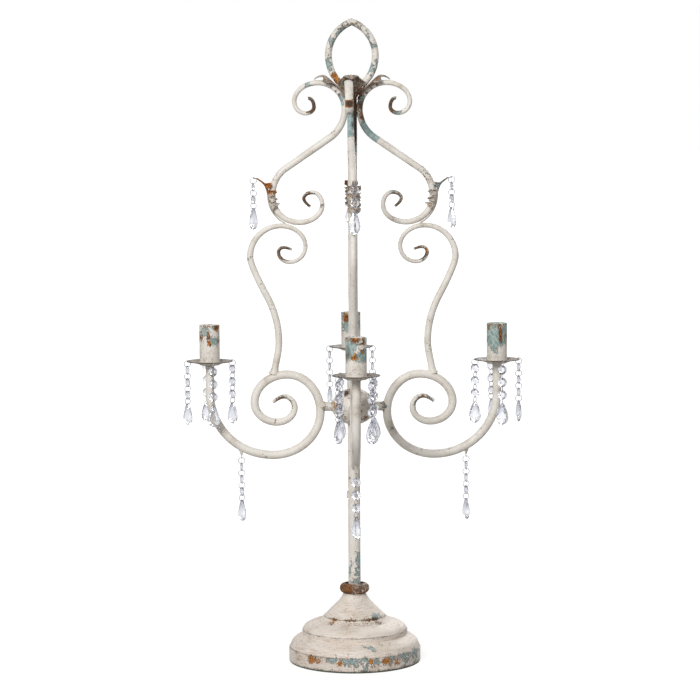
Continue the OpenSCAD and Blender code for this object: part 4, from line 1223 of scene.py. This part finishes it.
def linkShapes(v):
    corner = v["octagon"] / 2 / math.cos(math.pi / 8)
    outline = [(corner * math.cos(math.radians(22.5 + 45 * k)), corner * math.sin(math.radians(22.5 + 45 * k)))
               for k in range(8)]
    t = v["octagonThick"] / 2
    octagon = facetedCrystal(outline, (0, 0), [
        (-t, 0.52, False), (-t * 0.72, 0.78, True), (-0.5, 1, False), (0.5, 1, False),
        (t * 0.72, 0.78, True), (t, 0.52, False)], "octagonBlank")
    octagon = pierce(octagon, (-v["holeGap"] / 2, v["holeGap"] / 2), v["holeRadius"], 4, "octagonCrystal")
    w, long, top = v["dropWide"], v["dropLong"], v["dropTop"]
    shape = [(0.12, 0), (0.26, 0.16), (0.36, 0.32), (0.46, 0.5), (0.5, 0.66), (0.46, 0.81), (0.33, 0.93),
             (0.12, 1.0)]
    right = [(w * a, top - long * b) for a, b in shape]
    outline = right + [(-a, b) for a, b in reversed(right)]
    t = v["dropThick"] / 2
    drop = facetedCrystal(outline, (0, top - long * 0.62), [
        (-t, 0.34, False), (-t * 0.78, 0.66, True), (-0.5, 1, False), (0.5, 1, False),
        (t * 0.78, 0.66, True), (t, 0.34, False)], "dropBlank")
    drop = pierce(drop, (0,), v["holeRadius"], 6, "dropCrystal")
    made = []
    for mesh in (octagon, drop):
        heights = [corner.co.z for corner in mesh.vertices]
        middle, half = (max(heights) + min(heights)) / 2, (max(heights) - min(heights)) / 2
        facet = mesh.attributes.new("facet", "FLOAT", "FACE")
        for k, face in enumerate(mesh.polygons):
            high = (face.center.z - middle) / half
            facet.data[k].value = 0.5 + v["facetUp"] * face.normal.z + v["facetHigh"] * high
        thing = bpy.data.objects.new(mesh.name, mesh)
        bpy.context.scene.collection.objects.link(thing)
        made.append(thing)
    return made


# Rows of equal links, one below the other. Every row has its own link, number, start and turns, and each link
# is turned by its row's twist in the last one.
strandRows = ("First ring", "Ring", "Octagon", "Drop")


def strandTree():
    perRow = [(row + part, kind) for row in strandRows
              for part, kind in ((" count", "Int"), (" start", "Vector"), (" turn", "Vector"))]
    tree, given, places = newTree("crystalStrand", [
        ("Step", "Vector"), ("Twist", "Vector"), ("Ring radius", "Float"), ("Wire radius", "Float"),
        ("Octagon", "Object"), ("Drop", "Object"), ("Wire", "Material"), ("Crystal", "Material"), *perRow,
    ])
    index = addNode(tree, "GeometryNodeInputIndex").outputs[0]
    loop = addNode(tree, "GeometryNodeCurvePrimitiveCircle", {"Resolution": 28}, {"Radius": given["Ring radius"]})
    wireRound = addNode(tree, "GeometryNodeCurvePrimitiveCircle", {"Resolution": 8}, {"Radius": given["Wire radius"]})
    ring = addNode(tree, "GeometryNodeCurveToMesh",
                   links={"Curve": loop.outputs[0], "Profile Curve": wireRound.outputs[0]})
    ring = addNode(tree, "GeometryNodeTransform", {"Rotation": (math.pi / 2, 0, 0)}, {"Geometry": ring.outputs[0]})
    ring = addNode(tree, "GeometryNodeSetShadeSmooth", links={"Geometry": ring.outputs[0]}).outputs[0]
    octagon = addNode(tree, "GeometryNodeObjectInfo", {"As Instance": True}, {"Object": given["Octagon"]})
    drop = addNode(tree, "GeometryNodeObjectInfo", {"As Instance": True}, {"Object": given["Drop"]})
    shapes = (ring, ring, octagon.outputs["Geometry"], drop.outputs["Geometry"])
    whole = addNode(tree, "GeometryNodeJoinGeometry")
    for row, shape, material in zip(strandRows, shapes, ("Wire", "Wire", "Crystal", "Crystal")):
        line = addNode(tree, "GeometryNodeMeshLine", links={
            "Count": given[row + " count"], "Start Location": given[row + " start"], "Offset": given["Step"]})
        turned = addNode(tree, "ShaderNodeVectorMath", {"operation": "MULTIPLY_ADD"},
                         {0: index, 1: given["Twist"], 2: given[row + " turn"]})
        placed = addNode(tree, "GeometryNodeInstanceOnPoints", links={
            "Points": line.outputs[0], "Instance": shape, "Rotation": turned.outputs[0]})
        real = addNode(tree, "GeometryNodeRealizeInstances", links={"Geometry": placed.outputs[0]})
        dressed = addNode(tree, "GeometryNodeSetMaterial",
                          links={"Geometry": real.outputs[0], "Material": given[material]})
        tree.links.new(dressed.outputs[0], whole.inputs[0])
    addNode(tree, "NodeGroupOutput", links={0: whole.outputs[0]})
    return tree, places


strandParts = strandTree()
octagonShape, dropShape = linkShapes(link)


# Lean is how far the links below the first ring hang turned from it
def makeStrand(name, body, place, octagons, twist, lean=0, v=link):
    values = {
        "Step": (0, 0, -v["step"] * mm), "Twist": (0, 0, math.radians(2 * twist)),
        "Ring radius": v["ringRadius"] * mm, "Wire radius": v["wireRadius"] * mm,
        "Octagon": octagonShape, "Drop": dropShape, "Wire": wire, "Crystal": crystal,
    }
    low = v["step"] * octagons + v["ringRadius"] + v["holeSlip"]
    for row, count, down, turn in (
        ("First ring", 1, 0, 0), ("Ring", octagons, v["step"], lean + 2 * twist),
        ("Octagon", octagons, v["step"] / 2, lean + twist), ("Drop", 1, low, lean * v["dropShare"] + (2 * octagons + 1) * twist),
    ):
        values[row + " count"] = count
        values[row + " start"] = (0, 0, -down * mm)
        values[row + " turn"] = (0, 0, math.radians(turn))
    mesh = runTree(*strandParts, bpy.data.meshes.new("empty"), values)
    mesh.transform(place)
    makePiece(name, mesh, body, None, [body])


strands = {
    "reach": 195, "plateMetal": 412.9, "rim": 30.65, "turns": [10, 0, 10, -50],
    "plateTwists": [[0, 6.4, 0, -2.4], [3.2, 0, -4.8, 0], [5.6, 0, 0, 2.4], [0, -4, 6.4, 0]],
    "plateLeans": [[0, 0, 52, 0], [0, 0, 0, 0], [0, 0, 35, 0], [0, 0, 0, 0]],
    "hookReach": 153, "lugZ": 281.267, "armTwists": [4, 0, 5.6, -6.4],
    "leafReach": 133.92, "leafZ": 660.106, "leafTwists": [8, 2.4, -8, 4.8],
}


def makeStrands(v):
    for i, side in enumerate(sides):
        for k, spot in enumerate(plateSpots):
            place = (sideTurn[i] @ Matrix.Translation((v["reach"] * mm, 0, (v["plateMetal"] - link["hang"]) * mm))
                     @ Matrix.Rotation(math.radians(v["turns"][i] + 90 * k), 4, "Z")
                     @ Matrix.Translation((v["rim"] * mm, 0, 0)))
            makeStrand(side + "DishStrand" + spot.upper(), side + "_plate_strand_" + spot, place, 3,
                       v["plateTwists"][i][k], v["plateLeans"][i][k])
        low = v["lugZ"] - link["ringSlack"] - link["ringRadius"]
        makeStrand(side + "HookStrand", side + "_arm_strand",
                   sideTurn[i] @ Matrix.Translation((v["hookReach"] * mm, 0, low * mm)), 3, v["armTwists"][i])
        makeStrand(side + "LeafStrand", side + "_leaf_strand",
                   sideTurn[i] @ Matrix.Translation((v["leafReach"] * mm, 0, (v["leafZ"] - link["hang"]) * mm)), 2,
                   v["leafTwists"][i])


makeStrands(strands)
for shape in (octagonShape, dropShape):
    bpy.data.objects.remove(shape)
print("strands made")
